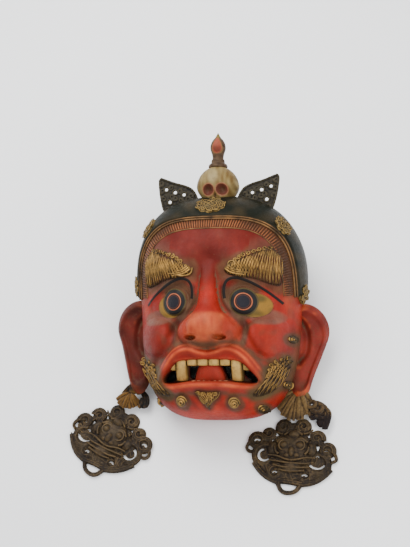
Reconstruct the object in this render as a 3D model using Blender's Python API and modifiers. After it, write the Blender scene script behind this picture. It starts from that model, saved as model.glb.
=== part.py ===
"""Tibetan cham mask of a wrathful deity, lying face up on its back rim, with its ear pendants on the floor."""

import math

import bmesh
import bpy
import numpy as np
from mathutils import Matrix, Vector
from mathutils.bvhtree import BVHTree

# Driving sizes in metres
FACE_HEIGHT = 0.342
FACE_WIDTH = 0.254
FACE_DEPTH = 0.104
OUTLINE_BACK = 0.012
CHIN_DEPTH = 0.022
FACE_LEAN = math.radians(22)
SIDE_WALL = 0.011
FRONT_WALL = 0.025
BAND_HEIGHT = 0.006
EAR_THICKNESS = 0.011
SKULL_WIDTH = 0.067
SKULL_HEIGHT = 0.070
SKULL_RISE = 0.018
FINIAL_SINK = 0.004
FINIAL_WIDTH = 0.030
FINIAL_HEIGHT = 0.0585
LEAF_WIDTH = 0.057
LEAF_HEIGHT = 0.050
LEAF_THICKNESS = 0.005
LEAF_OUT = 0.020
PENDANT_WIDTH = 0.137
PENDANT_HEIGHT = 0.119
PENDANT_THICKNESS = 0.016
ORNAMENT_WIDTH = 0.042
ORNAMENT_THICKNESS = 0.006
TIE_WIDTH = 0.066
TIE_THICKNESS = 0.024
TIE_LIFT = 0.004
SEAT_GAP = 0.0004

# The carving is drawn on a face of 254 by 342 units
UNIT_X = FACE_WIDTH / 254
UNIT_Y = FACE_HEIGHT / 342
UNIT_Z = FACE_DEPTH / 104
JAW_POWER = 3.3
CROWN_ROUND = 0.6
SIDE_POWER = 1.8
CROWN_POWER = 2.9
JAW_TAPER = 0.075
RIM_TUCK = 0.05

# Drawn outlines, in carving units from the middle of the chin
LIP = [(0, 99), (13, 101), (27, 107), (42, 104), (55, 94), (67, 77), (79, 60), (76, 51), (60, 49), (40, 52),
       (20, 54), (0, 54)]
MOUTH = [(-30, 92), (0, 92), (46, 91), (60, 77), (71, 63), (69, 57), (58, 54), (34, 58), (0, 59), (-30, 59)]
LID = [(45, 158), (33, 165), (25, 177), (23, 193), (27, 207), (40, 212), (60, 206), (80, 195), (96, 183),
       (111, 170)]
BROW = [(24, 228), (26, 217), (46, 211), (66, 210), (87, 203), (103, 200), (107, 218), (106, 240), (99, 253),
        (87, 258), (74, 249), (49, 238)]
BEARD = [(112, 96), (113, 78), (106, 61), (91, 45), (70, 36), (60, 39), (73, 50), (82, 63), (84, 78), (99, 88)]
TUFT = [(-22, 46), (0, 42), (17, 44), (4, 28), (-4, 17), (-12, 30)]
NOSE_SIDE = [(106, 20), (113, 33), (122, 44), (132, 48), (142, 43), (152, 32), (162, 21), (175, 15), (205, 12),
             (240, 9)]
NOSE_CREST = [(106, 0), (112, 10), (119, 28), (129, 39), (142, 41), (154, 37), (162, 30), (174, 18), (192, 12),
              (212, 8), (240, 0)]
EAR = [(157, 114), (163, 132), (163, 146), (159, 160), (151, 172), (140, 180), (128, 183), (114, 176),
       (104, 150), (100, 112), (103, 70), (110, 44), (120, 32), (129, 35), (135, 46), (139, 62), (145, 80),
       (151, 96)]
EAR_CENTRE = (125, 112)
BOSSES = [(-44, 30, 9), (35, 28, 9), (72, 18, 8), (-100, 26, 8), (107, 54, 7), (117, 122, 6)]
# The beard of the left jaw runs further back than that of the right one, from this place on
BEARD_START = 80
BEARD_SPREAD = 1.45


def clear_scene():
    for item in list(bpy.data.objects):
        bpy.data.objects.remove(item, do_unlink=True)
    for mesh in list(bpy.data.meshes):
        bpy.data.meshes.remove(mesh)


def collection(name):
    made = bpy.data.collections.new(name)
    bpy.context.scene.collection.children.link(made)
    return made


def smooth(edge0, edge1, value):
    t = np.clip((value - edge0) / (edge1 - edge0), 0, 1)
    return t * t * (3 - 2 * t)


def swell(x, y, cx, cy, rx, ry, height):
    """A soft hill."""
    return height * np.exp(-((x - cx) / rx) ** 2 - ((y - cy) / ry) ** 2)


def pillow(x, y, cx, cy, rx, ry, height, edge=0.6):
    """A rounded boss with a clear edge."""
    inside = np.clip(1 - ((x - cx) / rx) ** 2 - ((y - cy) / ry) ** 2, 0, None)
    return height * inside**edge


def higher(a, b, soft=3.0):
    """The higher of two heights, with a fillet where they meet."""
    t = np.clip(0.5 + 0.5 * (a - b) / soft, 0, 1)
    return b + (a - b) * t + soft * t * (1 - t)


def along(x, y, path):
    """Distance to a path, and how far along it the nearest place is."""
    best = np.full(np.shape(x), np.inf)
    where = np.zeros(np.shape(x))
    path = np.asarray(path, float)
    steps = np.hypot(*np.diff(path, axis=0).T)
    start = 0.0
    for (ax, ay), (bx, by), step in zip(path[:-1], path[1:], steps):
        t = np.clip(((x - ax) * (bx - ax) + (y - ay) * (by - ay)) / step**2, 0, 1)
        far = np.hypot(x - ax - t * (bx - ax), y - ay - t * (by - ay))
        where = np.where(far < best, (start + t * step) / steps.sum(), where)
        best = np.minimum(far, best)
        start += step
    return best, where


def rounded(points, rounds=3, closed=False):
    """Corner cutting: a smooth run through a few corner points."""
    p = np.asarray(points, float)
    for _ in range(rounds):
        q = np.roll(p, -1, axis=0)
        cut = np.stack([0.75 * p + 0.25 * q, 0.25 * p + 0.75 * q], axis=1).reshape(-1, 2)
        p = cut if closed else np.vstack([p[:1], cut[:-2], p[-1:]])
    return p


def depth_inside(x, y, outline):
    """Distance to an outline, positive inside it."""
    closed = np.vstack([outline, outline[:1]])
    far, _ = along(x, y, closed)
    hit = np.zeros(np.shape(x), bool)
    for (ax, ay), (bx, by) in zip(closed[:-1], closed[1:]):
        if ay != by:
            crosses = (ay > y) != (by > y)
            hit ^= crosses & (x < ax + (y - ay) * (bx - ax) / (by - ay))
    return np.where(hit, far, -far)


def forehead_and_jaw(x, y, ax):
    """The broad forms: brow ridges, eye hollows, muzzle, chin and cheeks."""
    h = swell(x, y, 0, 262, 52, 34, 4)
    h += swell(ax, y, 66, 238, 34, 26, 12)
    h -= swell(x, y, 0, 236, 11, 18, 3)
    h -= swell(ax, y, 60, 184, 36, 26, 9)
    h += swell(ax, y, 30, 80, 58, 44, 13)
    h += swell(x, y, 0, 22, 66, 22, 8)
    cheek = pillow(ax, y, 86, 126, 36, 30, 22, 0.7)
    h = higher(h, h - 2 + cheek, 4)
    h -= swell(ax, y, 52, 142, 9, 16, 6)
    return h


def nose(ax, y):
    """A nose that widens from the bridge to its wings, with slit nostrils under them."""
    side = rounded(NOSE_SIDE, 3)
    crest = rounded(NOSE_CREST, 3)
    wide = np.interp(y, side[:, 0], side[:, 1])
    high = np.interp(y, crest[:, 0], crest[:, 1])
    h = high * np.clip(1 - (ax / wide) ** 2.3, 0, 1) ** 0.6
    crease, where = along(ax, y, rounded([(17, 160), (25, 151), (28, 141), (26, 130)], 2))
    h = h - 3.5 * np.exp(-((crease / 3.2) ** 2)) * smooth(0, 0.3, where)
    return h - pillow(ax, y, 21, 123, 10, 4.5, 16, 0.8)


def eyes(h, x, y, ax):
    """A round ball in a hollow, its white running out to the corner, and the rolled lid over it."""
    white = pillow(ax, y, 67, 174, 31, 20, 11, 0.6)
    ball = pillow(ax, y, 52, 178, 22, 22, 20, 0.55)
    h = higher(h, h - 4 + higher(white, ball, 3), 2)
    lid, where = along(ax, y, rounded(LID))
    return h + 5.5 * np.exp(-((lid / 5.0) ** 2)) * smooth(0, 0.1, where) * smooth(1.0, 0.8, where)


def mouth(h, x, y, ax):
    """Raised lips around a sunk mouth, and the fold from nose to jaw."""
    lip, _ = along(ax, y, rounded(LIP))
    h = h + 9.5 * np.exp(-((lip / 7.2) ** 2))
    h = h - 28 * smooth(-1.5, 5.5, depth_inside(ax, y, rounded(MOUTH, 2)))
    fold, where = along(ax, y, rounded([(46, 156), (56, 128), (66, 108), (84, 88), (100, 66), (98, 44)]))
    return h - 5 * np.exp(-((fold / 6) ** 2)) * smooth(0, 0.15, where) * smooth(1, 0.8, where)


def carve(x, y):
    """Height of the carving over the plain dome, in units."""
    ax = np.abs(x)
    h = forehead_and_jaw(x, y, ax)
    h = h + nose(ax, y)
    h = eyes(h, x, y, ax)
    h = mouth(h, x, y, ax)
    h = h + 4.0 * smooth(-1, 4, depth_inside(ax, y, rounded(BROW, 2, closed=True)))
    jaw = np.where((x < 0) & (ax > BEARD_START), BEARD_START + (ax - BEARD_START) / BEARD_SPREAD, ax)
    h = h + 3.5 * smooth(-1, 4, depth_inside(jaw, y, rounded(BEARD, 2, closed=True)))
    h = h + 3.5 * smooth(-1, 4, depth_inside(x, y, rounded(TUFT, 2, closed=True)))
    for bx, by, radius in BOSSES:
        h = h + pillow(x, y, bx, by, radius, radius, 5, 0.5)
    return h


def power_at(sine):
    return SIDE_POWER + (CROWN_POWER - SIDE_POWER) * sine**2


def outline_power(sine):
    """The outline is squarer at the jaw and rounder over the crown."""
    return JAW_POWER - CROWN_ROUND * smooth(0.0, 0.8, sine)


def head_surface(s, t, side=0.0, front=0.0, below=0.0, carved=True):
    """Points of the mask (right, up, out) for places s, t of a square from -1 to 1."""
    half_w = FACE_WIDTH / 2 - side
    half_h = FACE_HEIGHT / 2 - side
    deep = FACE_DEPTH + OUTLINE_BACK - front
    p, q = s * np.sqrt(1 - t * t / 2), t * np.sqrt(1 - s * s / 2)
    out, way = np.hypot(p, q), np.arctan2(q, p)
    cos, sin = np.cos(way), np.sin(way)
    power, edging = power_at(sin), outline_power(sin)
    reach = (np.abs(cos / half_w) ** edging + np.abs(sin / half_h) ** edging) ** (-1 / edging)
    face, turned, share = 0.82, 0.92, 0.90
    edge = np.arcsin(share ** (power / 2))
    angle = edge + (math.pi / 2 - edge) * np.clip((out - face) / (turned - face), 0, 1)
    u = np.where(out < face, out / face * share, np.sin(angle) ** (2 / power))
    z = deep * np.clip(1 - np.clip(u, 0, 1) ** power, 0, 1) ** (1 / power)
    wall = np.clip((out - turned) / (1 - turned), 0, 1)
    x, y = reach * cos * u, reach * sin * u
    x, y = x * (1 - RIM_TUCK * wall**2), y * (1 - RIM_TUCK * wall**2)
    x = x * (1 + JAW_TAPER * np.clip(y / half_h, -1, 1))
    norm = np.abs(x / half_w) ** edging + np.abs(y / half_h) ** edging + 1e-9
    k = norm ** (power / edging - 1)
    nx = k * np.sign(x) * np.abs(x / half_w) ** (edging - 1) / half_w
    ny = k * np.sign(y) * np.abs(y / half_h) ** (edging - 1) / half_h
    nz = np.where(wall > 0, 0, (z / deep) ** (power - 1) / deep)
    normal = np.stack([nx, ny, nz]) / (np.sqrt(nx**2 + ny**2 + nz**2) + 1e-12)
    up = y + FACE_HEIGHT / 2
    rim = -(up * math.sin(FACE_LEAN) + CHIN_DEPTH) / math.cos(FACE_LEAN)
    z = z - OUTLINE_BACK + wall * (rim + OUTLINE_BACK) * (1 + below)
    if carved:
        z = z + UNIT_Z * carve(x / UNIT_X, up / UNIT_Y) * smooth(1.0, 0.9, u) * (wall == 0)
        raised = band_height(x / UNIT_X, up / UNIT_Y, wall)
        x, up, z = x + normal[0] * raised, up + normal[1] * raised, z + normal[2] * raised
    return np.stack([x, up, z], axis=-1)


def band_height(x, y, wall):
    """The headband stands off the brow behind an arched front edge and stops above the ears."""
    arch = ((np.abs(x) / 120) ** 3.5 + (np.abs(y - 171) / 132) ** 3.5) ** (1 / 3.5)
    return BAND_HEIGHT * smooth(0.99, 1.015, arch) * smooth(0.75, 0.25, wall) * smooth(186, 194, y)


def face_depth(x, y):
    """Height of the plain dome at a place in carving units, also in units."""
    x = x / (1 + JAW_TAPER * (y - 171) / 171)
    sine = (y - 171) / math.hypot(x, y - 171)
    power, edging = power_at(sine), outline_power(sine)
    u = (abs(x / 127) ** edging + abs((y - 171) / 171) ** edging) ** (1 / edging)
    return 116 * np.clip(1 - u**power, 0, 1) ** (1 / power) - 12


def ear_surface(lon, lat, widen, lift, splay):
    """A closed ear on the left or right of the face, from the longitude and latitude of a globe."""
    line = rounded(EAR, 2, closed=True) - EAR_CENTRE
    angle = np.mod(np.arctan2(line[:, 1], line[:, 0]), 2 * np.pi)
    order = np.argsort(angle)
    angle, far = angle[order], np.hypot(line[:, 0], line[:, 1])[order]
    angle = np.concatenate([angle - 2 * np.pi, angle, angle + 2 * np.pi])
    radius = np.interp(np.mod(lon, 2 * np.pi), angle, np.tile(far, 3))
    share = np.cos(lat) ** 0.8
    x = EAR_CENTRE[0] + radius * share * np.cos(lon)
    y = EAR_CENTRE[1] + radius * share * np.sin(lon)
    z = -14 - 0.010 * (x - 118) ** 2 - 0.05 * np.clip(x - 118, 0, None)
    relief = 6.0 * np.exp(-(((share - 0.86) / 0.10) ** 2)) * smooth(108, 128, x)
    groove, _ = along(x, y, rounded([(112, 158), (124, 154), (131, 140), (133, 122), (130, 104), (120, 92)]))
    relief -= 8 * np.exp(-((groove / 5.5) ** 2)) + swell(x, y, 119, 122, 9, 26, 3)
    relief += swell(x, y, 113, 104, 7, 12, 5)
    z = z + EAR_THICKNESS / 2 / UNIT_Z * np.sin(lat)
    z = z + np.where(lat > 0, relief * smooth(0, 0.35, np.sin(lat)), 0)
    x = x + widen * np.clip((x - 118) / 45, 0, None) + splay * smooth(120, 50, y)
    return np.stack([x * UNIT_X, (y + lift) * UNIT_Y, z * UNIT_Z], axis=-1)


def empty(name, parent=None):
    made = bpy.data.objects.new(name, None)
    made.parent = parent
    bpy.context.scene.collection.objects.link(made)
    return made


def face_outward(bm):
    bmesh.ops.recalc_face_normals(bm, faces=bm.faces)
    if bm.calc_volume(signed=True) < 0:
        bmesh.ops.reverse_faces(bm, faces=bm.faces)


def mesh_object(name, bm, where, material=None, parent=None):
    face_outward(bm)
    mesh = bpy.data.meshes.new(name)
    bm.to_mesh(mesh)
    bm.free()
    made = bpy.data.objects.new(name, mesh)
    made.parent = parent
    where.objects.link(made)
    if material:
        mesh.materials.append(material)
    return made


def paint(name, colour, roughness, metallic=0.0):
    material = bpy.data.materials.new(name)
    material.use_nodes = True
    shader = material.node_tree.nodes["Principled BSDF"]
    shader.inputs["Base Color"].default_value = (*colour, 1)
    shader.inputs["Roughness"].default_value = roughness
    shader.inputs["Metallic"].default_value = metallic
    return material


def bake(target):
    """Keep the result of a modifier stack as the object's own mesh."""
    graph = bpy.context.evaluated_depsgraph_get()
    mesh = bpy.data.meshes.new_from_object(target.evaluated_get(graph))
    target.modifiers.clear()
    old = target.data
    materials = list(old.materials)
    target.data = mesh
    mesh.materials.clear()
    for material in materials:
        mesh.materials.append(material)
    bpy.data.meshes.remove(old)


def boolean(target, other, operation):
    step = target.modifiers.new(operation.lower(), "BOOLEAN")
    step.operation = operation
    step.solver = "EXACT"
    step.object = other
    bake(target)


def thin(target, triangles):
    """Fewer, larger facets, most of them where the form bends."""
    bm = bmesh.new()
    bm.from_mesh(target.data)
    bmesh.ops.triangulate(bm, faces=bm.faces)
    bm.to_mesh(target.data)
    bm.free()
    step = target.modifiers.new("thin", "DECIMATE")
    step.ratio = min(1.0, triangles / len(target.data.polygons))
    bake(target)


def fused(target, grain, triangles):
    """Join overlapping lumps into one skin."""
    step = target.modifiers.new("fuse", "REMESH")
    step.mode = "VOXEL"
    step.voxel_size = grain
    bake(target)
    thin(target, triangles)


def grown(source, gap, name, where):
    """A copy of a body that stands off it by a gap, for cutting a neighbour clear of it."""
    bm = bmesh.new()
    bm.from_mesh(source.data)
    bm.normal_update()
    places = [vert.co + vert.normal * gap for vert in bm.verts]
    for vert, place in zip(bm.verts, places):
        vert.co = place
    made = mesh_object(name, bm, where, parent=source.parent)
    made.location = source.location
    made.rotation_euler = source.rotation_euler
    return made


def own_origin(target, place):
    """Move an object's origin to a place of its parent's axes, without moving its skin."""
    target.data.transform(Matrix.Translation(-Vector(place)))
    target.location = place


def keep_largest(bm):
    left = set(bm.verts)
    groups = []
    while left:
        queue = [left.pop()]
        group = set(queue)
        while queue:
            for edge in queue.pop().link_edges:
                for vert in edge.verts:
                    if vert in left:
                        left.discard(vert)
                        group.add(vert)
                        queue.append(vert)
        groups.append(group)
    largest = max(groups, key=len)
    bmesh.ops.delete(bm, geom=[v for v in bm.verts if v not in largest], context="VERTS")


def tidy(target):
    """Drop slivers left by cutting, and any loose crumb, as far as the skin stays closed."""
    for weld in (0.00004, 0.00001, 0):
        bm = bmesh.new()
        bm.from_mesh(target.data)
        bmesh.ops.triangulate(bm, faces=bm.faces)
        if weld:
            bmesh.ops.remove_doubles(bm, verts=bm.verts, dist=weld)
            bmesh.ops.dissolve_degenerate(bm, edges=bm.edges, dist=weld)
            bmesh.ops.triangulate(bm, faces=bm.faces)
        keep_largest(bm)
        closed = all(edge.is_manifold for edge in bm.edges)
        if closed or not weld:
            face_outward(bm)
            bm.to_mesh(target.data)
        bm.free()
        if closed:
            return


def head_body(name, columns, rows, where, material=None, **shape):
    """A closed dome over the rim plane; below > 0 takes it past that plane."""
    bm = bmesh.new()
    bmesh.ops.create_grid(bm, x_segments=columns, y_segments=rows, size=1)
    bm.verts.ensure_lookup_table()
    square = np.array([vert.co[:2] for vert in bm.verts])
    for vert, place in zip(bm.verts, head_surface(square[:, 0], square[:, 1], **shape)):
        vert.co = place
    bmesh.ops.contextual_create(bm, geom=[edge for edge in bm.edges if edge.is_boundary])
    return mesh_object(name, bm, where, material, lying)


def ear_body(name, side, where, widen, lift, splay):
    bm = bmesh.new()
    bmesh.ops.create_uvsphere(bm, u_segments=72, v_segments=44, radius=1)
    bm.verts.ensure_lookup_table()
    places = np.array([vert.co[:] for vert in bm.verts])
    lon = np.arctan2(places[:, 1], places[:, 0])
    lat = np.arcsin(np.clip(places[:, 2], -1, 1))
    for vert, place in zip(bm.verts, ear_surface(lon, lat, widen, lift, splay)):
        vert.co = (place[0] * side, place[1], place[2])
    return mesh_object(name, bm, where, parent=lying)


def block_body(name, where, corners, back, front, bevel):
    """A block in the mouth: four corners in carving units, and its depths from the plain dome."""
    bm = bmesh.new()
    bmesh.ops.create_cube(bm, size=2)
    for vert in bm.verts:
        a, b = (vert.co.x + 1) / 2, (vert.co.y + 1) / 2
        low = Vector(corners[0]).lerp(Vector(corners[1]), a)
        high = Vector(corners[3]).lerp(Vector(corners[2]), a)
        place = low.lerp(high, b)
        z = face_depth(place.x, place.y) + (front if vert.co.z > 0 else back)
        vert.co = (place.x * UNIT_X, place.y * UNIT_Y, z * UNIT_Z)
    bmesh.ops.bevel(bm, geom=list(bm.edges), offset=bevel, segments=1, affect="EDGES", profile=0.5)
    return mesh_object(name, bm, where, parent=lying)


def prism_body(name, where, outline, back, front):
    """A straight prism through the face, from an outline in carving units."""
    bm = bmesh.new()
    verts = [bm.verts.new((x * UNIT_X, y * UNIT_Y, back * UNIT_Z)) for x, y in outline]
    face = bm.faces.new(verts)
    made = bmesh.ops.extrude_face_region(bm, geom=[face])
    rise = [item for item in made["geom"] if isinstance(item, bmesh.types.BMVert)]
    bmesh.ops.translate(bm, verts=rise, vec=(0, 0, (front - back) * UNIT_Z))
    return mesh_object(name, bm, where, parent=lying)


def spiral(centre, outer, inner, start, turns, count=18):
    """A scroll line winding in from its outer end."""
    t = np.linspace(0, 1, count)
    angle = math.radians(start) + t * turns * 2 * math.pi
    radius = outer + (inner - outer) * t
    return [(centre[0] + r * math.cos(a), centre[1] + r * math.sin(a)) for r, a in zip(radius, angle)]


def add_tube(bm, path, radius, end_radius=None, level=0.0, scale=1.0):
    """A round bar along a flat path; all in one set of units, turned to metres by scale."""
    curve = bpy.data.curves.new("bar", "CURVE")
    curve.dimensions = "3D"
    curve.bevel_depth = 1.0
    curve.bevel_resolution = 1
    curve.use_fill_caps = True
    line = curve.splines.new("POLY")
    line.points.add(len(path) - 1)
    for index, place in enumerate(path):
        share = index / (len(path) - 1)
        height = place[2] if len(place) > 2 else level
        line.points[index].co = (place[0] * scale, place[1] * scale, height * scale, 1)
        wide = radius if end_radius is None else radius + (end_radius - radius) * share
        line.points[index].radius = wide * scale
    holder = bpy.data.objects.new("bar", curve)
    mesh = bpy.data.meshes.new_from_object(holder)
    bm.from_mesh(mesh)
    bpy.data.objects.remove(holder)
    bpy.data.meshes.remove(mesh)
    bpy.data.curves.remove(curve)


def add_ball(bm, centre, radii, scale=1.0):
    matrix = Matrix.Translation(Vector(centre) * scale) @ Matrix.Diagonal((*(Vector(radii) * scale), 1))
    bmesh.ops.create_icosphere(bm, subdivisions=3, radius=1, matrix=matrix)


def add_plate(bm, outline, low, high, scale=1.0):
    """A flat plate from an outline."""
    verts = [bm.verts.new((x * scale, y * scale, low * scale)) for x, y in outline]
    face = bm.faces.new(verts)
    made = bmesh.ops.extrude_face_region(bm, geom=[face])
    rise = [item for item in made["geom"] if isinstance(item, bmesh.types.BMVert)]
    bmesh.ops.translate(bm, verts=rise, vec=(0, 0, (high - low) * scale))


clear_scene()
parts = collection("tibetan_cham_mask")
cutters = collection("cutters")
# The mask's own axes (right, up, out) lean back on the rim; the pendants and ties lie in the floor's axes
footprint = empty("footprint")
lying = empty("lying", footprint)
lying.location = (0, 0, CHIN_DEPTH)
lying.rotation_euler = (FACE_LEAN, 0, 0)
red_paint = paint("red_painted_wood", (0.42, 0.055, 0.04), 0.55)
bone_paint = paint("aged_cream_paint", (0.42, 0.33, 0.19), 0.6)
brown_paint = paint("brown_and_red_paint", (0.17, 0.10, 0.05), 0.55)
dark_metal = paint("dark_pierced_metal", (0.08, 0.06, 0.045), 0.5, 0.8)
gilt = paint("worn_gilt", (0.24, 0.16, 0.06), 0.45, 0.6)
dull_silk = paint("gold_brown_silk", (0.19, 0.13, 0.06), 0.8)
dark_silk = paint("dark_brown_brocade", (0.08, 0.045, 0.02), 0.8)

# The carved shell: dome, ears, teeth and tongue joined, then hollowed and pierced
shell = head_body("mask_shell", 170, 210, parts, red_paint, below=0.2)
thin(shell, 2850)
ears = [
    ear_body("ear_right", 1, cutters, 4, -2, 0),
    ear_body("ear_left", -1, cutters, 12, 7, 9),
]
for ear in ears:
    thin(ear, 300)
    boolean(shell, ear, "UNION")
tongue = block_body("tongue", cutters, [(-24, 55), (24, 55), (15, 86), (-15, 86)], -34, 1, 0.002)
boolean(shell, tongue, "UNION")
lower_teeth = block_body("lower_teeth", cutters, [(-28, 55), (28, 55), (27, 61), (-27, 61)], -30, 4, 0.001)
boolean(shell, lower_teeth, "UNION")
for index, (x0, x1, tip0, tip1, low, front) in enumerate([
    (-33, -16.7, -32, -16.7, 82, 6), (-16.5, -0.2, -16.5, -0.2, 82, 7), (0, 16.5, 0, 16.5, 82, 7),
    (16.7, 33, 16.7, 32, 82, 6), (33.2, 49, 34, 50, 59, 8), (-49, -33.2, -50, -34, 59, 8),
    (49.2, 64, 50, 60, 75, 5), (-64, -49.2, -60, -50, 75, 5),
]):
    tooth = block_body(f"tooth_{index}", cutters, [(tip0, low), (tip1, low), (x1, 95), (x0, 95)], -30, front, 0.0016)
    boolean(shell, tooth, "UNION")
cavity = head_body("cavity", 15, 19, cutters, side=SIDE_WALL, front=FRONT_WALL, below=0.4, carved=False)
boolean(shell, cavity, "DIFFERENCE")
ring = np.linspace(0, 2 * math.pi, 12, endpoint=False)
for side in (1, -1):
    inner = prism_body("inner_gap", cutters, [
        (side * 15, 86), (side * 33, 86), (side * 33, 67), (side * 29, 63), (side * 25, 64)], 20, 150)
    boolean(shell, inner, "DIFFERENCE")
    slant = [(60 + 11 * math.cos(a) - 3 * math.sin(a), 67 + 9 * math.sin(a) - 4 * math.cos(a)) for a in ring]
    outer = prism_body("outer_gap", cutters, [(side * x, y) for x, y in slant], 20, 150)
    boolean(shell, outer, "DIFFERENCE")
floor_box = bmesh.new()
bmesh.ops.create_cube(floor_box, size=1, matrix=Matrix.Translation((0, 0.1, -0.5)))
boolean(shell, mesh_object("under_floor", floor_box, cutters), "DIFFERENCE")
tidy(shell)
shell_skin = BVHTree.FromPolygons([v.co[:] for v in shell.data.vertices],
                                  [p.vertices[:] for p in shell.data.polygons])


def seated(target, direction):
    """Cut a body to the shell under it, then lift it clear along a direction."""
    boolean(target, shell, "DIFFERENCE")
    target.data.transform(Matrix.Translation(Vector(direction).normalized() * SEAT_GAP))
    tidy(target)


# The skull on the crown
def skull_surface(lon, lat):
    """A cranium with sunk sockets, narrowing to a row of teeth; from the globe's longitude and latitude."""
    x = np.cos(lat) * np.sin(lon)
    y = np.sin(lat)
    z = np.cos(lat) * np.cos(lon)
    jaw = smooth(0.1, -0.8, y)
    x, z = x * (1 - 0.25 * jaw), z * (1 - 0.1 * jaw)
    front = smooth(0.1, 0.5, z)
    dent = 0.24 * np.exp(-(((np.abs(x) - 0.31) / 0.2) ** 2) - ((y + 0.16) / 0.2) ** 2)
    dent += 0.12 * np.exp(-((x / 0.1) ** 2) - ((y + 0.42) / 0.14) ** 2)
    z = z - front * dent
    scale = SKULL_WIDTH / 2
    return np.stack([x * scale, y * SKULL_HEIGHT / 2, z * scale], axis=-1)


bm = bmesh.new()
bmesh.ops.create_uvsphere(bm, u_segments=48, v_segments=32, radius=1)
for vert in bm.verts:
    place = skull_surface(math.atan2(vert.co.x, -vert.co.y), math.asin(max(-1, min(1, vert.co.z))))
    vert.co = Vector(place) + Vector((0, FACE_HEIGHT + SKULL_RISE, SKULL_RISE))
skull = mesh_object("skull", bm, parts, bone_paint, lying)
thin(skull, 400)
seated(skull, (0, 1, 0))

# The turned finial on the skull
FINIAL = [(0, 0), (13.5, 0), (13.5, 6), (9.5, 8), (9.5, 13), (7.5, 15), (8.5, 22), (11, 29), (11, 35), (8.5, 42),
          (4, 47), (1.4, 52), (0, 55)]
bm = bmesh.new()
profile = [bm.verts.new((r / 27 * FINIAL_WIDTH, y / 55 * FINIAL_HEIGHT, 0)) for r, y in FINIAL]
for pair in zip(profile[:-1], profile[1:]):
    bm.edges.new(pair)
bmesh.ops.translate(bm, verts=bm.verts, vec=(0, FACE_HEIGHT + SKULL_RISE + SKULL_HEIGHT / 2 - FINIAL_SINK, 0))
mesh = bpy.data.meshes.new("finial")
bm.to_mesh(mesh)
bm.free()
mesh.materials.append(brown_paint)
finial = bpy.data.objects.new("finial", mesh)
finial.parent = lying
finial.location = (0, 0, SKULL_RISE)
parts.objects.link(finial)
turning = finial.modifiers.new("turned", "SCREW")
turning.axis = "Y"
turning.steps = 12
turning.render_steps = 12
turning.use_merge_vertices = True
turning.merge_threshold = 0.00005
bake(finial)
tidy(finial)
boolean(finial, skull, "DIFFERENCE")
finial.data.transform(Matrix.Translation((0, SEAT_GAP, 0)))
tidy(finial)

# The two pierced leaves of the crown
for name, side in (("crown_leaf_right", 1), ("crown_leaf_left", -1)):
    bm = bmesh.new()
    unit = LEAF_WIDTH / 57
    tall = LEAF_HEIGHT / 50 / unit
    thick = LEAF_THICKNESS / unit / 2
    rim = rounded([(-28, -14), (28, -14), (28, 6), (25, 26), (19, 50), (11, 43), (-2, 31), (-16, 21), (-27, 9)], 2,
                  closed=True)
    add_plate(bm, [(x, y * tall) for x, y in rim], -thick * 0.5, thick * 0.5, unit)
    leaf = mesh_object(name, bm, parts, dark_metal, lying)
    for hx, hy, radius in ((-10, 8, 2.4), (2, 17, 2.6), (14, 27, 2.4), (15, 5, 2.6)):
        bm = bmesh.new()
        hole = Matrix.Translation((hx * unit, hy * tall * unit, 0))
        bmesh.ops.create_cone(bm, cap_ends=True, segments=12, radius1=radius * unit, radius2=radius * unit,
                              depth=0.05, matrix=hole)
        boolean(leaf, mesh_object("leaf_hole", bm, cutters, parent=lying), "DIFFERENCE")
    bm = bmesh.new()
    bm.from_mesh(leaf.data)
    add_tube(bm, [(x, y * tall) for x, y in rim] + [(rim[0][0], rim[0][1] * tall)], thick, scale=unit)
    for cx, cy, radius in ((-13, 7, 5.2), (1, 15, 5.8), (15, 26, 5.4), (14, 4, 5.6), (-3, 1, 4)):
        add_tube(bm, [(px, py * tall) for px, py in spiral((cx, cy), radius, radius, 0, 1.0)], thick * 0.55,
                 level=thick * 0.4, scale=unit)
    leaf.data.clear_geometry()
    bm.to_mesh(leaf.data)
    bm.free()
    fused(leaf, 0.0009, 340)
    foot = Vector((side * 61 * UNIT_X, 341 * UNIT_Y, LEAF_OUT))
    place = Matrix.Translation(foot)
    place = place @ Matrix.Rotation(math.radians(-20 * side), 4, "Z") @ Matrix.Rotation(math.radians(-8), 4, "X")
    leaf.data.transform(place @ Matrix.Diagonal((side, 1, 1, 1)))
    if side < 0:
        leaf.data.flip_normals()
    seated(leaf, (0, 1, 0))
    own_origin(leaf, foot)

# The gilt ornaments of the headband
for name, x, y, z, wide, tall, lobes in (
    ("band_ornament_middle", -2, 320, 66, 28, 19, 5),
    ("band_ornament_right", 101, 294, 42, 18, 17, 4),
    ("band_ornament_left", -103, 296, 40, 17, 18, 4),
    ("band_end_right", 134, 194, 4, 14, 19, 3),
    ("band_end_left", -124, 210, 16, 14, 20, 3),
):
    centre, normal, _, _ = shell_skin.find_nearest(Vector((x * UNIT_X, y * UNIT_Y, z * UNIT_Z)))
    towards = Vector((x * 0.5 * UNIT_X, (y - 171) * 0.3 * UNIT_Y, 0.06)).normalized()
    normal = (normal + towards).normalized()
    across = Vector((0, 1, 0)).cross(normal).normalized()
    frame = Matrix((across, normal.cross(across), normal)).transposed().to_4x4()
    bm = bmesh.new()
    unit = ORNAMENT_WIDTH / 42
    thick = ORNAMENT_THICKNESS / unit
    add_ball(bm, (0, 0, -1), (wide * 0.62, tall * 0.62, thick), unit)
    for index in range(lobes * 2):
        turn = math.pi * (index + 0.5) / lobes
        spot = (wide * 0.68 * math.cos(turn), tall * 0.62 * math.sin(turn), -1.5)
        size = min(wide, tall) * 0.42
        add_ball(bm, spot, (size, size, thick * 0.85), unit)
    ornament = mesh_object(name, bm, parts, gilt, lying)
    fused(ornament, 0.0012, 130)
    ornament.data.transform(Matrix.Translation(centre) @ frame)
    seated(ornament, normal)
    own_origin(ornament, centre)

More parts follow.
